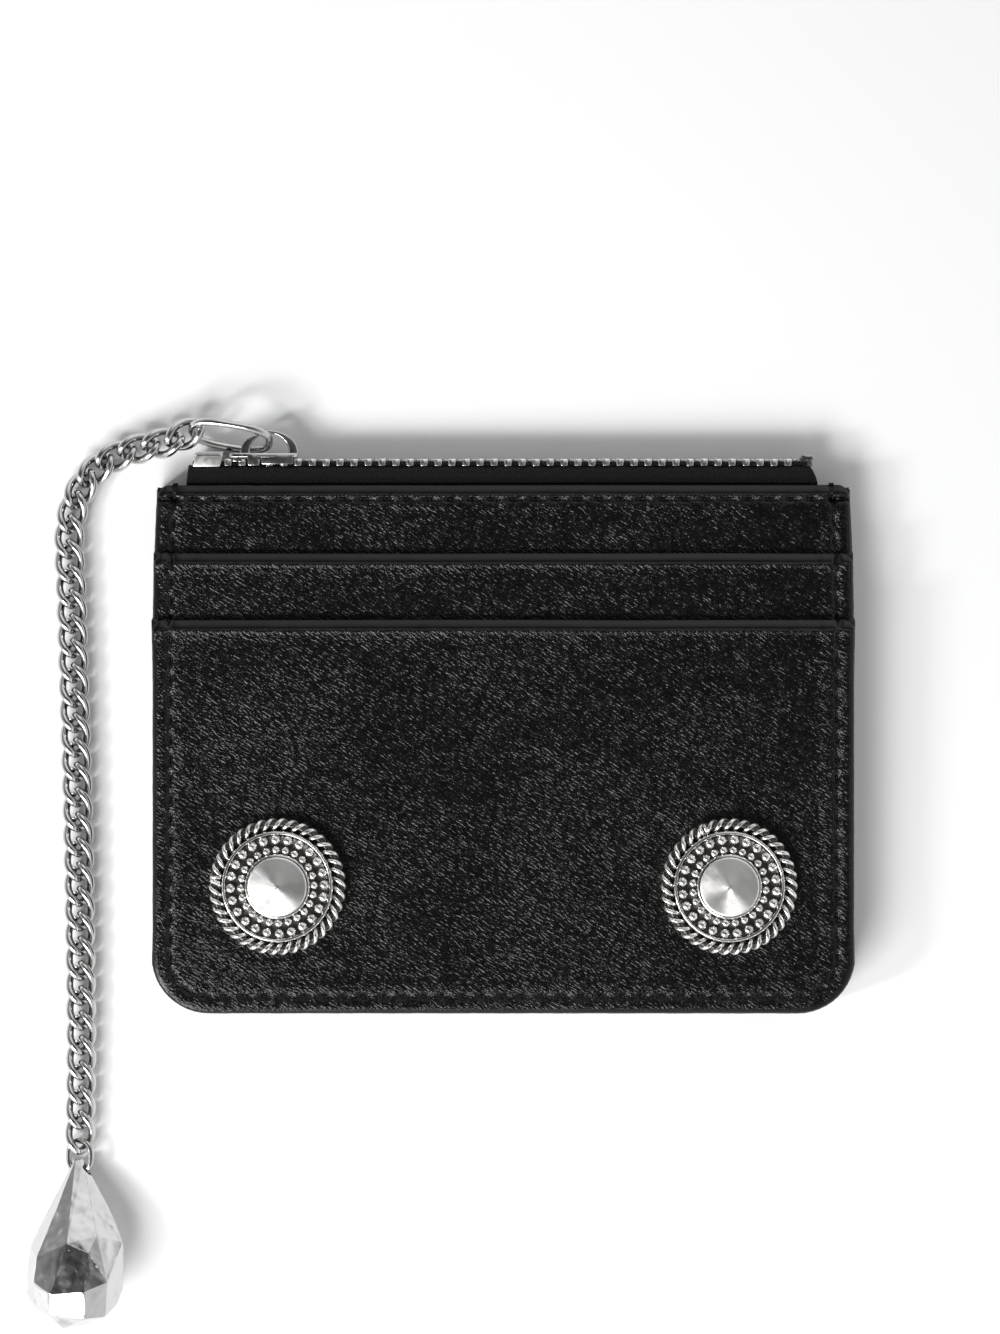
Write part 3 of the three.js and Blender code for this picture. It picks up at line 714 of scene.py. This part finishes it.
TAPE_LOW, TAPE_HIGH = box("zip_tape_front")
BACK_TAPE_LOW = box("zip_tape_back")[0]
ZIP_MIDDLE = (TAPE_HIGH.z + BACK_TAPE_LOW.z) / 2
TAPE_OUT = TAPE_HIGH.z - ZIP_MIDDLE
TAPE_THICK = 0.4
FOLD = 0.9


def tape_section(side):
    """The tape's outer face from the pocket up to its bead, as [height out, y, thickness]."""
    pocket = UPPER[0].z - 0.3 - ZIP_MIDDLE if side > 0 else ZIP_MIDDLE - 1.3
    flare = UPPER[1].y + 0.1
    line = [(pocket, TAPE_LOW.y), (pocket, TAPE_LOW.y + 4), (pocket, flare - 0.6), (pocket + 0.08, flare)]
    for k in range(1, 6):
        s = k / 6
        line.append((pocket + (TAPE_OUT - pocket) * (0.08 + 0.92 * s**0.8), flare + 1.35 * s))
    centre_out, centre_y = TAPE_OUT - FOLD, TAPE_HIGH.y - FOLD
    for k in range(9):
        a = math.pi / 2 * k / 8
        line.append((centre_out + FOLD * math.cos(a), centre_y + FOLD * math.sin(a)))
    line.append((centre_out - 0.3, TAPE_HIGH.y))
    return line


def tape(side, name, node):
    line = tape_section(side)
    inner = []
    for i, (out, y) in enumerate(line):
        po, py = line[max(i - 1, 0)]
        no, ny = line[min(i + 1, len(line) - 1)]
        run = math.hypot(no - po, ny - py)
        inner.append((out - (ny - py) / run * TAPE_THICK, y + (no - po) / run * TAPE_THICK))
    section = line + inner[::-1]
    left, right = TAPE_LOW.x, TAPE_HIGH.x
    rings = []
    steps = int((right - left) / 0.42)
    for k in range(steps + 1):
        s = k / steps
        ring = []
        for out, y in section:
            high = max((y - UPPER[1].y) / (TAPE_HIGH.y - UPPER[1].y), 0)
            # both ends are cut at a slant
            cut_left, cut_right = left + 0.4 * high, right - 1.3 * high**1.6
            x = cut_left + (cut_right - cut_left) * s
            ripple = 0.05 * math.sin(x * 1.45 + side) + 0.04 * math.sin(x * 0.47)
            ring.append((x, y + 0.5 * ripple * high, ZIP_MIDDLE + side * (out + ripple * high)))
        rings.append(ring if side > 0 else ring[::-1])
    shape = Shape()
    shape.rings(rings)
    shape.piece(name, [TAPE], "zip_tape", [node])
    # the cord that the teeth are clamped on
    cord = Shape()
    cord_z = ZIP_MIDDLE + side * (TAPE_OUT - FOLD + 0.1)
    xs = np.linspace(left + 1.0, right - 1.6, 220)
    cord.rings(tube([(x, TAPE_HIGH.y + 0.18 + 0.03 * math.sin(x * 1.45), cord_z) for x in xs], 0.42, 10))
    cord.piece(name + "_cord", [TAPE], "zip_tape")


tape(1, "zip_front_tape", "zip_tape_front")
tape(-1, "zip_back_tape", "zip_tape_back")


def plain_mesh(bm):
    """Points and faces of a bmesh, which is freed."""
    bm.verts.index_update()
    points = [v.co.copy() for v in bm.verts]
    faces = [tuple(v.index for v in f.verts) for f in bm.faces]
    bm.free()
    return points, faces


def cut_block(corners, width, segments=2):
    """The convex hull of these corners with its edges rounded: points and faces."""
    bm = bmesh.new()
    for corner in corners:
        bm.verts.new(corner)
    bmesh.ops.convex_hull(bm, input=bm.verts[:])
    bmesh.ops.delete(bm, geom=[v for v in bm.verts if not v.link_faces], context="VERTS")
    bmesh.ops.dissolve_limit(bm, angle_limit=math.radians(2), verts=bm.verts[:], edges=bm.edges[:])
    rounding = {"segments": segments, "profile": 0.5, "affect": "EDGES", "clamp_overlap": True}
    bmesh.ops.bevel(bm, geom=bm.edges[:], offset=width, **rounding)
    bmesh.ops.recalc_face_normals(bm, faces=bm.faces[:])
    return plain_mesh(bm)


def brick(low, high, slant=0.0):
    """Eight corners, the upper ones moved along X by slant."""
    return [
        Vector((x + (slant if y == high[1] else 0), y, z))
        for x in (low[0], high[0])
        for y in (low[1], high[1])
        for z in (low[2], high[2])
    ]


def teeth(side, name, node):
    low, high = box(node)
    pitch, width = 2.1, 1.2
    near, far = ZIP_MIDDLE + side * 0.3, ZIP_MIDDLE + side * 2.16
    # each row of the clamp: half its width, its height and how far in from its outer face it lies
    rows = ((0.5, 42.35, 0), (0.58, 43.42, 0.1), (0.58, 42.65, 1.2), (0.58, 43.5, 1.2))
    corners = [Vector((end * half, y, far - side * into)) for half, y, into in rows for end in (-1, 1)]
    clamp = cut_block(corners, 0.14)
    reach = sorted((near, near + side * 0.9))
    head = cut_block(brick((-0.4, 42.72, reach[0]), (0.4, 43.5, reach[1])), 0.13)
    shape = Shape()
    chance = np.random.RandomState(17 + side)
    for i in range(round((high.x - low.x - width) / pitch) + 1):
        x = low.x + width / 2 + i * pitch
        lift, lean = chance.uniform(-0.03, 0.03), chance.uniform(-0.05, 0.05)
        for points, faces in (clamp, head):
            placed = [(x + p.x + lean * (p.y - 43), min(p.y + lift, high.y + 0.05), p.z) for p in points]
            shape.add(placed, faces)
    shape.piece(name, [TEETH], "nickel", [node], sharp=40)


teeth(1, "zip_front_teeth", "zip_teeth_front")
teeth(-1, "zip_back_teeth", "zip_teeth_back")


def end_piece(name, node, slant, look):
    """A small plate clamped over the end of both tapes, with legs pressed down on either side."""
    low, high = box(node)
    shape = Shape()
    cap = brick((low.x, high.y - 0.75, low.z), (high.x, high.y, high.z), slant)
    shape.add(*cut_block(cap, 0.16))
    for side_low, side_high in ((low.z, low.z + 0.5), (high.z - 0.5, high.z)):
        leg = brick((low.x - 0.12, low.y - 0.4, side_low), (high.x - 0.12, high.y - 0.3, side_high), slant)
        shape.add(*cut_block(leg, 0.15))
    shape.piece(name, [look], "nickel", [node], sharp=40)


end_piece("zip_clip", "zip_end_clip", 0.55, CLIP)
end_piece("zip_stop", "zip_end_stop", -0.2, NICKEL)

# ---- Slider and its bridge ----


def slider():
    low, high = box("slider_body")
    middle_z = (low.z + high.z) / 2
    reach = (high.z - low.z) / 2
    plate, flange, flange_low = 0.65, 0.45, 42.7
    shape = Shape()
    # the cover is widest a third of the way along and narrows towards the closed end
    outline = [(low.x, 0.78), (low.x + 0.5, 0.96), (low.x + 4.2, 1.0), (high.x - 0.6, 0.84), (high.x, 0.68)]
    corners = []
    for x, wide in outline:
        for sign in (-1, 1):
            corners.append(Vector((x, high.y - plate, middle_z + sign * reach * wide)))
            corners.append(Vector((x, high.y, middle_z + sign * (reach * wide - 0.12))))
    shape.add(*cut_block(corners, 0.16, 3))
    span = high.x - low.x
    # each jaw: where it starts and ends along the slider, how far up it begins, and its reach
    jaws = ((0.06, 0.2, 0.5, 0.9), (0.27, 0.43, -0.1, 1.02), (0.47, 0.93, 0.1, 0.9))
    for sign in (-1, 1):
        for start, end, drop_by, wide in jaws:
            corners = [
                Vector((low.x + span * at + (0.12 if y < 43 else 0), y, middle_z + sign * out))
                for at in (start, end)
                for out in (reach * wide, reach * wide - flange)
                for y in (flange_low + drop_by - 0.2, high.y - 0.2)
            ]
            shape.add(*cut_block(corners, 0.14))
    lower = brick((low.x + 0.2, low.y, middle_z - 1.4), (high.x - 0.3, low.y + 0.7, middle_z + 1.4))
    shape.add(*cut_block(lower, 0.15))
    post = brick((low.x + 0.5, low.y + 0.4, middle_z - 0.22), (low.x + 2.0, high.y - 0.3, middle_z + 0.22))
    shape.add(*cut_block(post, 0.06))
    shape.piece("slider", [NICKEL], "nickel", ["slider_body"], body="slider", sharp=40)


slider()


def bridge():
    """A flat arch with softened edges that the ring hangs in."""
    low, high = box("slider_bridge")
    foot = Vector(((low.x + high.x) / 2, low.y, (low.z + high.z) / 2))
    outer, tall = (high.x - low.x) / 2, high.y - low.y
    inner, hole = outer - 1.42, tall - 0.5
    half, soft, steps = (high.z - low.z) / 2, 0.14, 48
    # half the section, as [part of the way out, height]; the other half is its mirror image
    section = [(0, half - soft), (0.07, half - 0.04), (soft, half), (0.5, half + 0.012)]
    section += [(1 - soft, half), (0.93, half - 0.04), (1, half - soft)]
    section += [(across, -min(up, half)) for across, up in section[::-1]]
    rings = []
    for k in range(steps + 1):
        c, s = math.cos(math.pi * k / steps), math.sin(math.pi * k / steps)
        far, near = foot + Vector((outer * c, tall * s, 0)), foot + Vector((inner * c, hole * s, 0))
        sink = Vector((0, 0.25 if k in (0, steps) else 0, 0))
        rings.append([near.lerp(far, across) - sink + Vector((0, 0, up)) for across, up in section])
    shape = Shape()
    shape.rings(rings)
    shape.piece("bridge", [NICKEL], "nickel", ["slider_bridge"], body="slider", sharp=50)


bridge()

# ---- Rings, links and drop ----


def oval(half_length, half_width, steps, squareness):
    """Points of a closed oval in the XY plane."""
    power = 2 / squareness
    path = []
    for k in range(steps):
        point = round_z(TAU * (k + 0.5) / steps)
        x, y = (math.copysign(abs(c) ** power, c) for c in (point.x, point.y))
        path.append(Vector((half_length * x, half_width * y, 0)))
    return path


def wire_ring(name, node, line, wire, sides, place, look=None, normals=None):
    """A round wire along a closed line, which place puts in the frame."""
    normals = normals or [Vector((0, 0, 1))] * len(line)
    shape = Shape()
    rings = tube(line, wire, sides, closed=True, normals=normals)
    shape.rings([[place @ p for p in ring] for ring in rings], closed=True)
    return shape.piece(name, [look or NICKEL], "nickel", [node], body=node)


def axes(along, across, up, centre):
    turn = Matrix((along, across, up)).transposed().to_4x4()
    return Matrix.Translation(centre) @ turn


low, high = box("pull_ring")
place = Matrix.Translation((low + high) / 2)
place = place @ Matrix.Rotation(math.radians(-9), 4, "Z") @ Matrix.Rotation(math.radians(60), 4, "X")
wire_ring("ring", "pull_ring", oval(5.9, 3.2, 120, 2.6), 0.58, 20, place)

LINK_LENGTH = 2.9
LINK_WIRE = 0.6
LINK_TWIST = math.radians(-60)
hinges = [joint_place(f"chain_hinge_{i + 1:02d}") for i in range(len(LINKS))] + [joint_place("jump_hinge")]


def frame_between(start, end):
    along = (end - start).normalized()
    across = Vector((0, 0, 1)).cross(along).normalized()
    return along, across, along.cross(across)


def twisted(point):
    return Matrix.Rotation(LINK_TWIST * point.x / LINK_LENGTH, 4, "X") @ point


curb_line = [twisted(point) for point in oval(LINK_LENGTH, 1.75, 72, 2.4)]
outwards = [point.normalized() for point in curb_line]
curb_rings = tube(curb_line, LINK_WIRE, 18, closed=True, normals=outwards)
# 0 on the outer side of the wire and 1 on the side that faces the middle of the link; the chain's colour is
# painted darker towards 1, as painted shade between the wires
inner_shade_mask = []
for ring, middle_point, out in zip(curb_rings, curb_line, outwards):
    inner_shade_mask += [0.5 - 0.5 * (p - middle_point).dot(out) / LINK_WIRE for p in ring]
for i, node in enumerate(LINKS):
    start, end = hinges[i], hinges[i + 1]
    place = axes(*frame_between(start, end), (start + end) / 2)
    link = wire_ring(f"link_{i + 1:02d}", node, curb_line, LINK_WIRE, 18, place, CHAIN, outwards)
    point_values(link, "inner", inner_shade_mask)

JUMP_LENGTH = 2.3
JUMP_ROLL = math.radians(25)
drop_hinge = joint_place("drop_hinge")
along, across, up = frame_between(hinges[-2], hinges[-1])
place = axes(along, across, up, drop_hinge - along * JUMP_LENGTH) @ Matrix.Rotation(JUMP_ROLL, 4, "X")
wire_ring("jump_ring", "jump_link", oval(JUMP_LENGTH, 1.95, 64, 2.5), 0.465, 16, place)

# Corners of the drop: [across, height, distance from the tip]
DROP_CORNERS = [
    (-0.6, 1.0, 0), (0.6, 1.0, 0), (0.6, -1.0, 0), (-0.6, -1.0, 0),
    (-0.9, 1.4, 1.6), (0.9, 1.4, 1.6), (0.9, -1.4, 1.6), (-0.9, -1.4, 1.6),
    (-4.7, 0.2, 7.7), (-3.1, 2.5, 7.7), (-0.6, 3.3, 8.2), (1.9, 3.0, 7.9), (4.9, 0.4, 7.9),
    (-7.1, 0.3, 13.0), (-5.8, 3.3, 15.1), (-1.2, 5.0, 13.3), (3.2, 4.3, 12.1), (6.8, 0.6, 12.4),
    (-7.6, -0.6, 16.2), (-6.1, 3.1, 18.8), (2.1, 4.9, 14.6), (4.9, 3.7, 18.8), (7.1, -0.4, 16.0),
    (-7.5, 0.1, 20.0), (-3.5, 4.2, 20.7), (1.5, 4.6, 20.4), (7.0, 0.3, 19.2), (-6.2, 0.5, 22.3),
    (-3.9, 1.9, 23.6), (-1.9, -0.2, 25.3), (1.6, 2.2, 24.1), (4.4, 0.7, 23.6), (6.1, -0.3, 21.6),
    (-3.4, -2.3, 7.9), (0.4, -3.1, 7.6), (3.3, -2.2, 8.3), (-5.6, -3.2, 13.8), (-0.9, -4.6, 13.2),
    (4.1, -3.8, 13.9), (-5.4, -3.6, 18.2), (0.6, -4.9, 17.8), (5.2, -3.4, 18.6), (-3.2, -3.0, 22.6),
    (2.6, -3.1, 22.8), (0.4, -1.5, 24.9),
]


def hammered(points, faces):
    """The body in small faces: uneven facets with softened edges, and a thumb-like dent in front."""
    bm = bmesh.new()
    made = [bm.verts.new(p) for p in points]
    for face in faces:
        bm.faces.new([made[i] for i in face])
    for _ in range(5):
        bmesh.ops.triangulate(bm, faces=bm.faces[:])
        long_edges = [e for e in bm.edges if e.calc_length() > 0.62]
        if long_edges:
            bmesh.ops.subdivide_edges(bm, edges=long_edges, cuts=1)
    bmesh.ops.triangulate(bm, faces=bm.faces[:])
    axes_used = {"use_axis_x": True, "use_axis_y": True, "use_axis_z": True}
    for _ in range(3):
        below_tip = [v for v in bm.verts if v.co.y < -3]
        bmesh.ops.smooth_vert(bm, verts=below_tip, factor=0.5, **axes_used)
    bm.normal_update()
    moved = []
    for v in bm.verts:
        push = 0.09 * noise.noise(v.co / 2.4) + 0.04 * noise.noise(v.co + Vector((7, 3, 5)))
        if v.co.z > 0:
            across, along = (v.co.x + 0.3) / 2.5, (v.co.y + 17.0) / 4.3
            push -= 0.34 * max(0.0, 1 - across**2 - along**2)
        moved.append(v.co + v.normal * push * min(1.0, max(0.0, (-v.co.y - 3) / 3)))
    return moved, plain_mesh(bm)[1]


def drop():
    points, faces = cut_block([Vector((x, -depth, z)) for x, z, depth in DROP_CORNERS], 0.6, 3)
    points, faces = hammered(points, faces)
    turn = Matrix.Rotation(math.radians(-14.65), 4, "X")
    place = Matrix.Translation(drop_hinge + turn @ Vector((0, 1.68, 0))) @ turn
    obj = make("nugget", [place @ p for p in points], faces, [SILVER], "silver", ["drop"], body="drop")
    # the hole that the jump ring goes through
    bm = bmesh.new()
    bmesh.ops.create_cone(bm, cap_ends=True, segments=40, radius1=1.02, radius2=1.02, depth=6)
    spin = Matrix.Rotation(-JUMP_ROLL, 4, "Y") @ Matrix.Rotation(math.pi / 2, 4, "Y")
    bmesh.ops.transform(bm, verts=bm.verts, matrix=place @ Matrix.Translation((0, -1.45, 0)) @ spin)
    bmesh.ops.scale(bm, verts=bm.verts, vec=Vector((1, 1, 1)) / MM)
    mesh = bpy.data.meshes.new("cutter")
    bm.to_mesh(mesh)
    bm.free()
    cutter = bpy.data.objects.new("cutter", mesh)
    bpy.context.scene.collection.objects.link(cutter)
    cut = obj.modifiers.new("hole", "BOOLEAN")
    cut.object, cut.operation, cut.solver = cutter, "DIFFERENCE", "EXACT"
    soften = obj.modifiers.new("hole_edge", "BEVEL")
    soften.width, soften.segments = 0.12 / MM, 2
    soften.limit_method, soften.angle_limit = "ANGLE", math.radians(50)
    graph = bpy.context.evaluated_depsgraph_get()
    done = bpy.data.meshes.new_from_object(obj.evaluated_get(graph))
    obj.modifiers.clear()
    obj.data = done
    bpy.data.objects.remove(cutter)
    done.polygons.foreach_set("use_smooth", [True] * len(done.polygons))
    done.set_sharp_from_angle(angle=math.radians(32))


drop()

# ---- Conchos ----

# Turned profiles, as [radius, height over the leather]
BEZEL = [
    (0, -1.55), (1.2, -1.55), (1.2, 0.0), (7.85, 0.0), (8.15, 0.18), (8.33, 0.5), (8.38, 1.1), (8.35, 1.75),
    (8.24, 2.1), (8.1, 2.24), (7.97, 2.28), (7.85, 2.24), (7.76, 2.1), (7.7, 1.8), (7.6, 1.55), (7.4, 1.42),
    (6.4, 1.36), (5.2, 1.42), (4.98, 1.6), (4.86, 1.95), (4.7, 2.12), (4.5, 2.18), (0, 2.2),
]
CONE_FORM = [
    (0, 2.3), (4.2, 2.3), (4.34, 2.36), (4.42, 2.5), (4.43, 2.68), (4.38, 2.78), (4.28, 2.84), (4.1, 2.88),
    (3.6, 3.0), (2.8, 3.18), (1.9, 3.39), (1.0, 3.61), (0.5, 3.74), (0.2, 3.82), (0, 3.84),
]
BEAD_RINGS = ((7.0, 0.74), (5.45, 0.62))
BEADS = 24
ROPE_RADIUS = 9.3
ROPE_HEIGHT = 1.1
ROPE_TURNS = 19


def beads(shape, at, look, turn):
    """Two rows of beads, each row with its own radius and size of bead."""
    bm = bmesh.new()
    bmesh.ops.create_icosphere(bm, subdivisions=3, radius=1)
    ball, faces = plain_mesh(bm)
    for radius, size in BEAD_RINGS:
        for k in range(BEADS):
            centre = at + round_z(TAU * (k + turn) / BEADS, radius, 1.66)
            shape.add([centre + p * size for p in ball], faces, look)


def rope(name, node, at, join):
    """Two strands laid round each other into a ring, with two small turns of wire where they meet."""
    shape = Shape()
    steps = ROPE_TURNS * 18
    up = Vector((0, 0, 1))
    for strand in range(2):
        path, normals = [], []
        for k in range(steps):
            around = TAU * k / steps
            lay = ROPE_TURNS * around + math.pi * strand
            offset = round_z(around, math.cos(lay), math.sin(lay))
            path.append(at + round_z(around, ROPE_RADIUS, ROPE_HEIGHT) + offset * 0.66)
            normals.append(offset)
        shape.rings(tube(path, 0.33, 12, closed=True, normals=normals), closed=True)
    core = [at + round_z(TAU * k / 90, ROPE_RADIUS, ROPE_HEIGHT - 0.08) for k in range(90)]
    shape.rings(tube(core, 0.46, 12, closed=True), closed=True, look=1)
    out, side = round_z(join), round_z(join + math.pi / 2)
    centre = at + round_z(join, ROPE_RADIUS, ROPE_HEIGHT)
    for shift in (-0.34, 0.34):
        loop = []
        for k in range(24):
            c, s = math.cos(TAU * k / 24), math.sin(TAU * k / 24)
            loop.append(centre + side * (shift + 0.1 * s) + out * (0.72 * c) + up * (0.8 * s))
        shape.rings(tube(loop, 0.26, 10, closed=True, normals=[side] * 24), closed=True)
    shape.piece(name, [ANTIQUE, OXIDE], "antique_silver", [node])


for side, join, bead_turn in (("left", math.radians(173), 0.15), ("right", math.radians(114), 0.62)):
    concho = f"{side}_concho_"
    at = CONCHOS[side] - Vector((0, 0, 2.3))
    shape = Shape()
    turned(shape, BEZEL, 144, at, (4.9, 7.62))
    beads(shape, at, 2, bead_turn)
    shape.piece(f"{side}_plate", [NICKEL, OXIDE, ANTIQUE], "antique_silver", [concho + "plate"])
    rope(f"{side}_rope", concho + "rope", at, join)
    shape = Shape()
    turned(shape, CONE_FORM, 128, at)
    shape.piece(f"{side}_cone", [CONE], "silver", [concho + "cone"], sharp=60)

for node, look in (("edge_filler", EDGE), ("left_concho_washer", NICKEL), ("right_concho_washer", NICKEL)):
    mesh = frame["nodes"][node].data
    mesh.materials.clear()
    mesh.materials.append(look)

# ---- Floor, light and camera ----


def stage(name, data):
    """An object that is there for the picture only."""
    obj = bpy.data.objects.new(name, data)
    bpy.context.scene.collection.objects.link(obj)
    return obj


def floor():
    look = Look("pale_board", (0.86, 0.86, 0.87), 0.75, Specular_IOR_Level=0.25)
    look.bump(look.noise(0.9, 4.0), 0.012)
    cloudy = look.ramp(look.noise(160, 1.0), 0.3, 0.7)
    look.surface("Base Color", look.mix(cloudy, (0.84, 0.845, 0.855), (0.87, 0.87, 0.875)))
    mesh = bpy.data.meshes.new("floor")
    corners = [(-1.6, -1.6, 0), (1.6, -1.6, 0), (1.6, 1.6, 0), (-1.6, 1.6, 0)]
    mesh.from_pydata(corners, [], [(0, 1, 2, 3)])
    mesh.materials.append(look.material)
    stage("floor", mesh).location.z = -0.0002


floor()


def area(name, place, aim, size, power, color):
    light = bpy.data.lights.new(name, "AREA")
    light.shape, light.size, light.size_y = "RECTANGLE", *size
    light.energy, light.color = power, color
    obj = stage(name, light)
    obj.location = place
    obj.rotation_euler = (Vector(aim) - Vector(place)).to_track_quat("-Z", "Y").to_euler()


area("window", (-0.394, -0.63, 0.6235), (0, 0, 0), (0.55, 0.45), 9.5, (1.0, 0.99, 0.97))
area("side_window", (-0.34, -0.17, 0.24), (-0.03, 0, 0), (0.05, 0.09), 0.9, (0.98, 0.99, 1.0))


def room():
    """Surroundings: white low down and dark overhead, with a dark card and a lit card to reflect."""
    world = bpy.data.worlds.new("room")
    bpy.context.scene.world = world
    world.use_nodes = True
    sky = Nodes(world.node_tree)
    way = sky.node("ShaderNodeTexCoord").outputs["Generated"]
    x, y, z = sky.node("ShaderNodeSeparateXYZ", {0: way}).outputs
    level = sky.math("SQRT", sky.plus(sky.times(x, x), sky.times(y, y)), 0.0)
    level = sky.math("MAXIMUM", level, 0.001)

    def towards(degrees):
        """Cosine of the angle round the vertical between the view and this bearing."""
        c, s = math.cos(math.radians(degrees)), math.sin(math.radians(degrees))
        return sky.math("DIVIDE", sky.plus(sky.times(x, c), sky.times(y, s)), level)

    ramp = sky.node("ShaderNodeValToRGB", {"Fac": z})
    stops = ((0.2, 1.0), (0.55, 0.84), (0.76, 0.42), (0.9, 0.13), (0.99, 0.08))
    for i, (at, value) in enumerate(stops):
        stop = ramp.color_ramp.elements[i] if i < 2 else ramp.color_ramp.elements.new(at)
        stop.position, stop.color = at, (value, value, value * 1.01, 1)
    dark_card = sky.times(sky.ramp(towards(140), 0.62, 0.86), sky.ramp(z, 0.08, 0.22))
    dark_card = sky.times(dark_card, sky.ramp(level, 0.1, 0.25))
    lit_card = sky.times(sky.ramp(towards(82), 0.88, 0.97), sky.ramp(level, 0.26, 0.4))
    lit_card = sky.times(lit_card, sky.ramp(z, 0.2, 0.5))
    shade = sky.math("SUBTRACT", 1.0, sky.times(dark_card, 0.6))
    both = sky.plus(sky.times(ramp.outputs["Color"], shade), sky.times(lit_card, 0.5))
    sky.feed(sky.tree.nodes["Background"].inputs["Color"], both)


room()

camera = bpy.data.cameras.new("camera")
camera.lens, camera.sensor_width, camera.sensor_fit = 120, 36, "AUTO"
camera.clip_start = 0.01
# straight above, looking down
eye = stage("camera", camera)
eye.location = (-0.0005, 0.0122, 0.672)
bpy.context.scene.camera = eye
bpy.context.scene.view_settings.view_transform = "Standard"
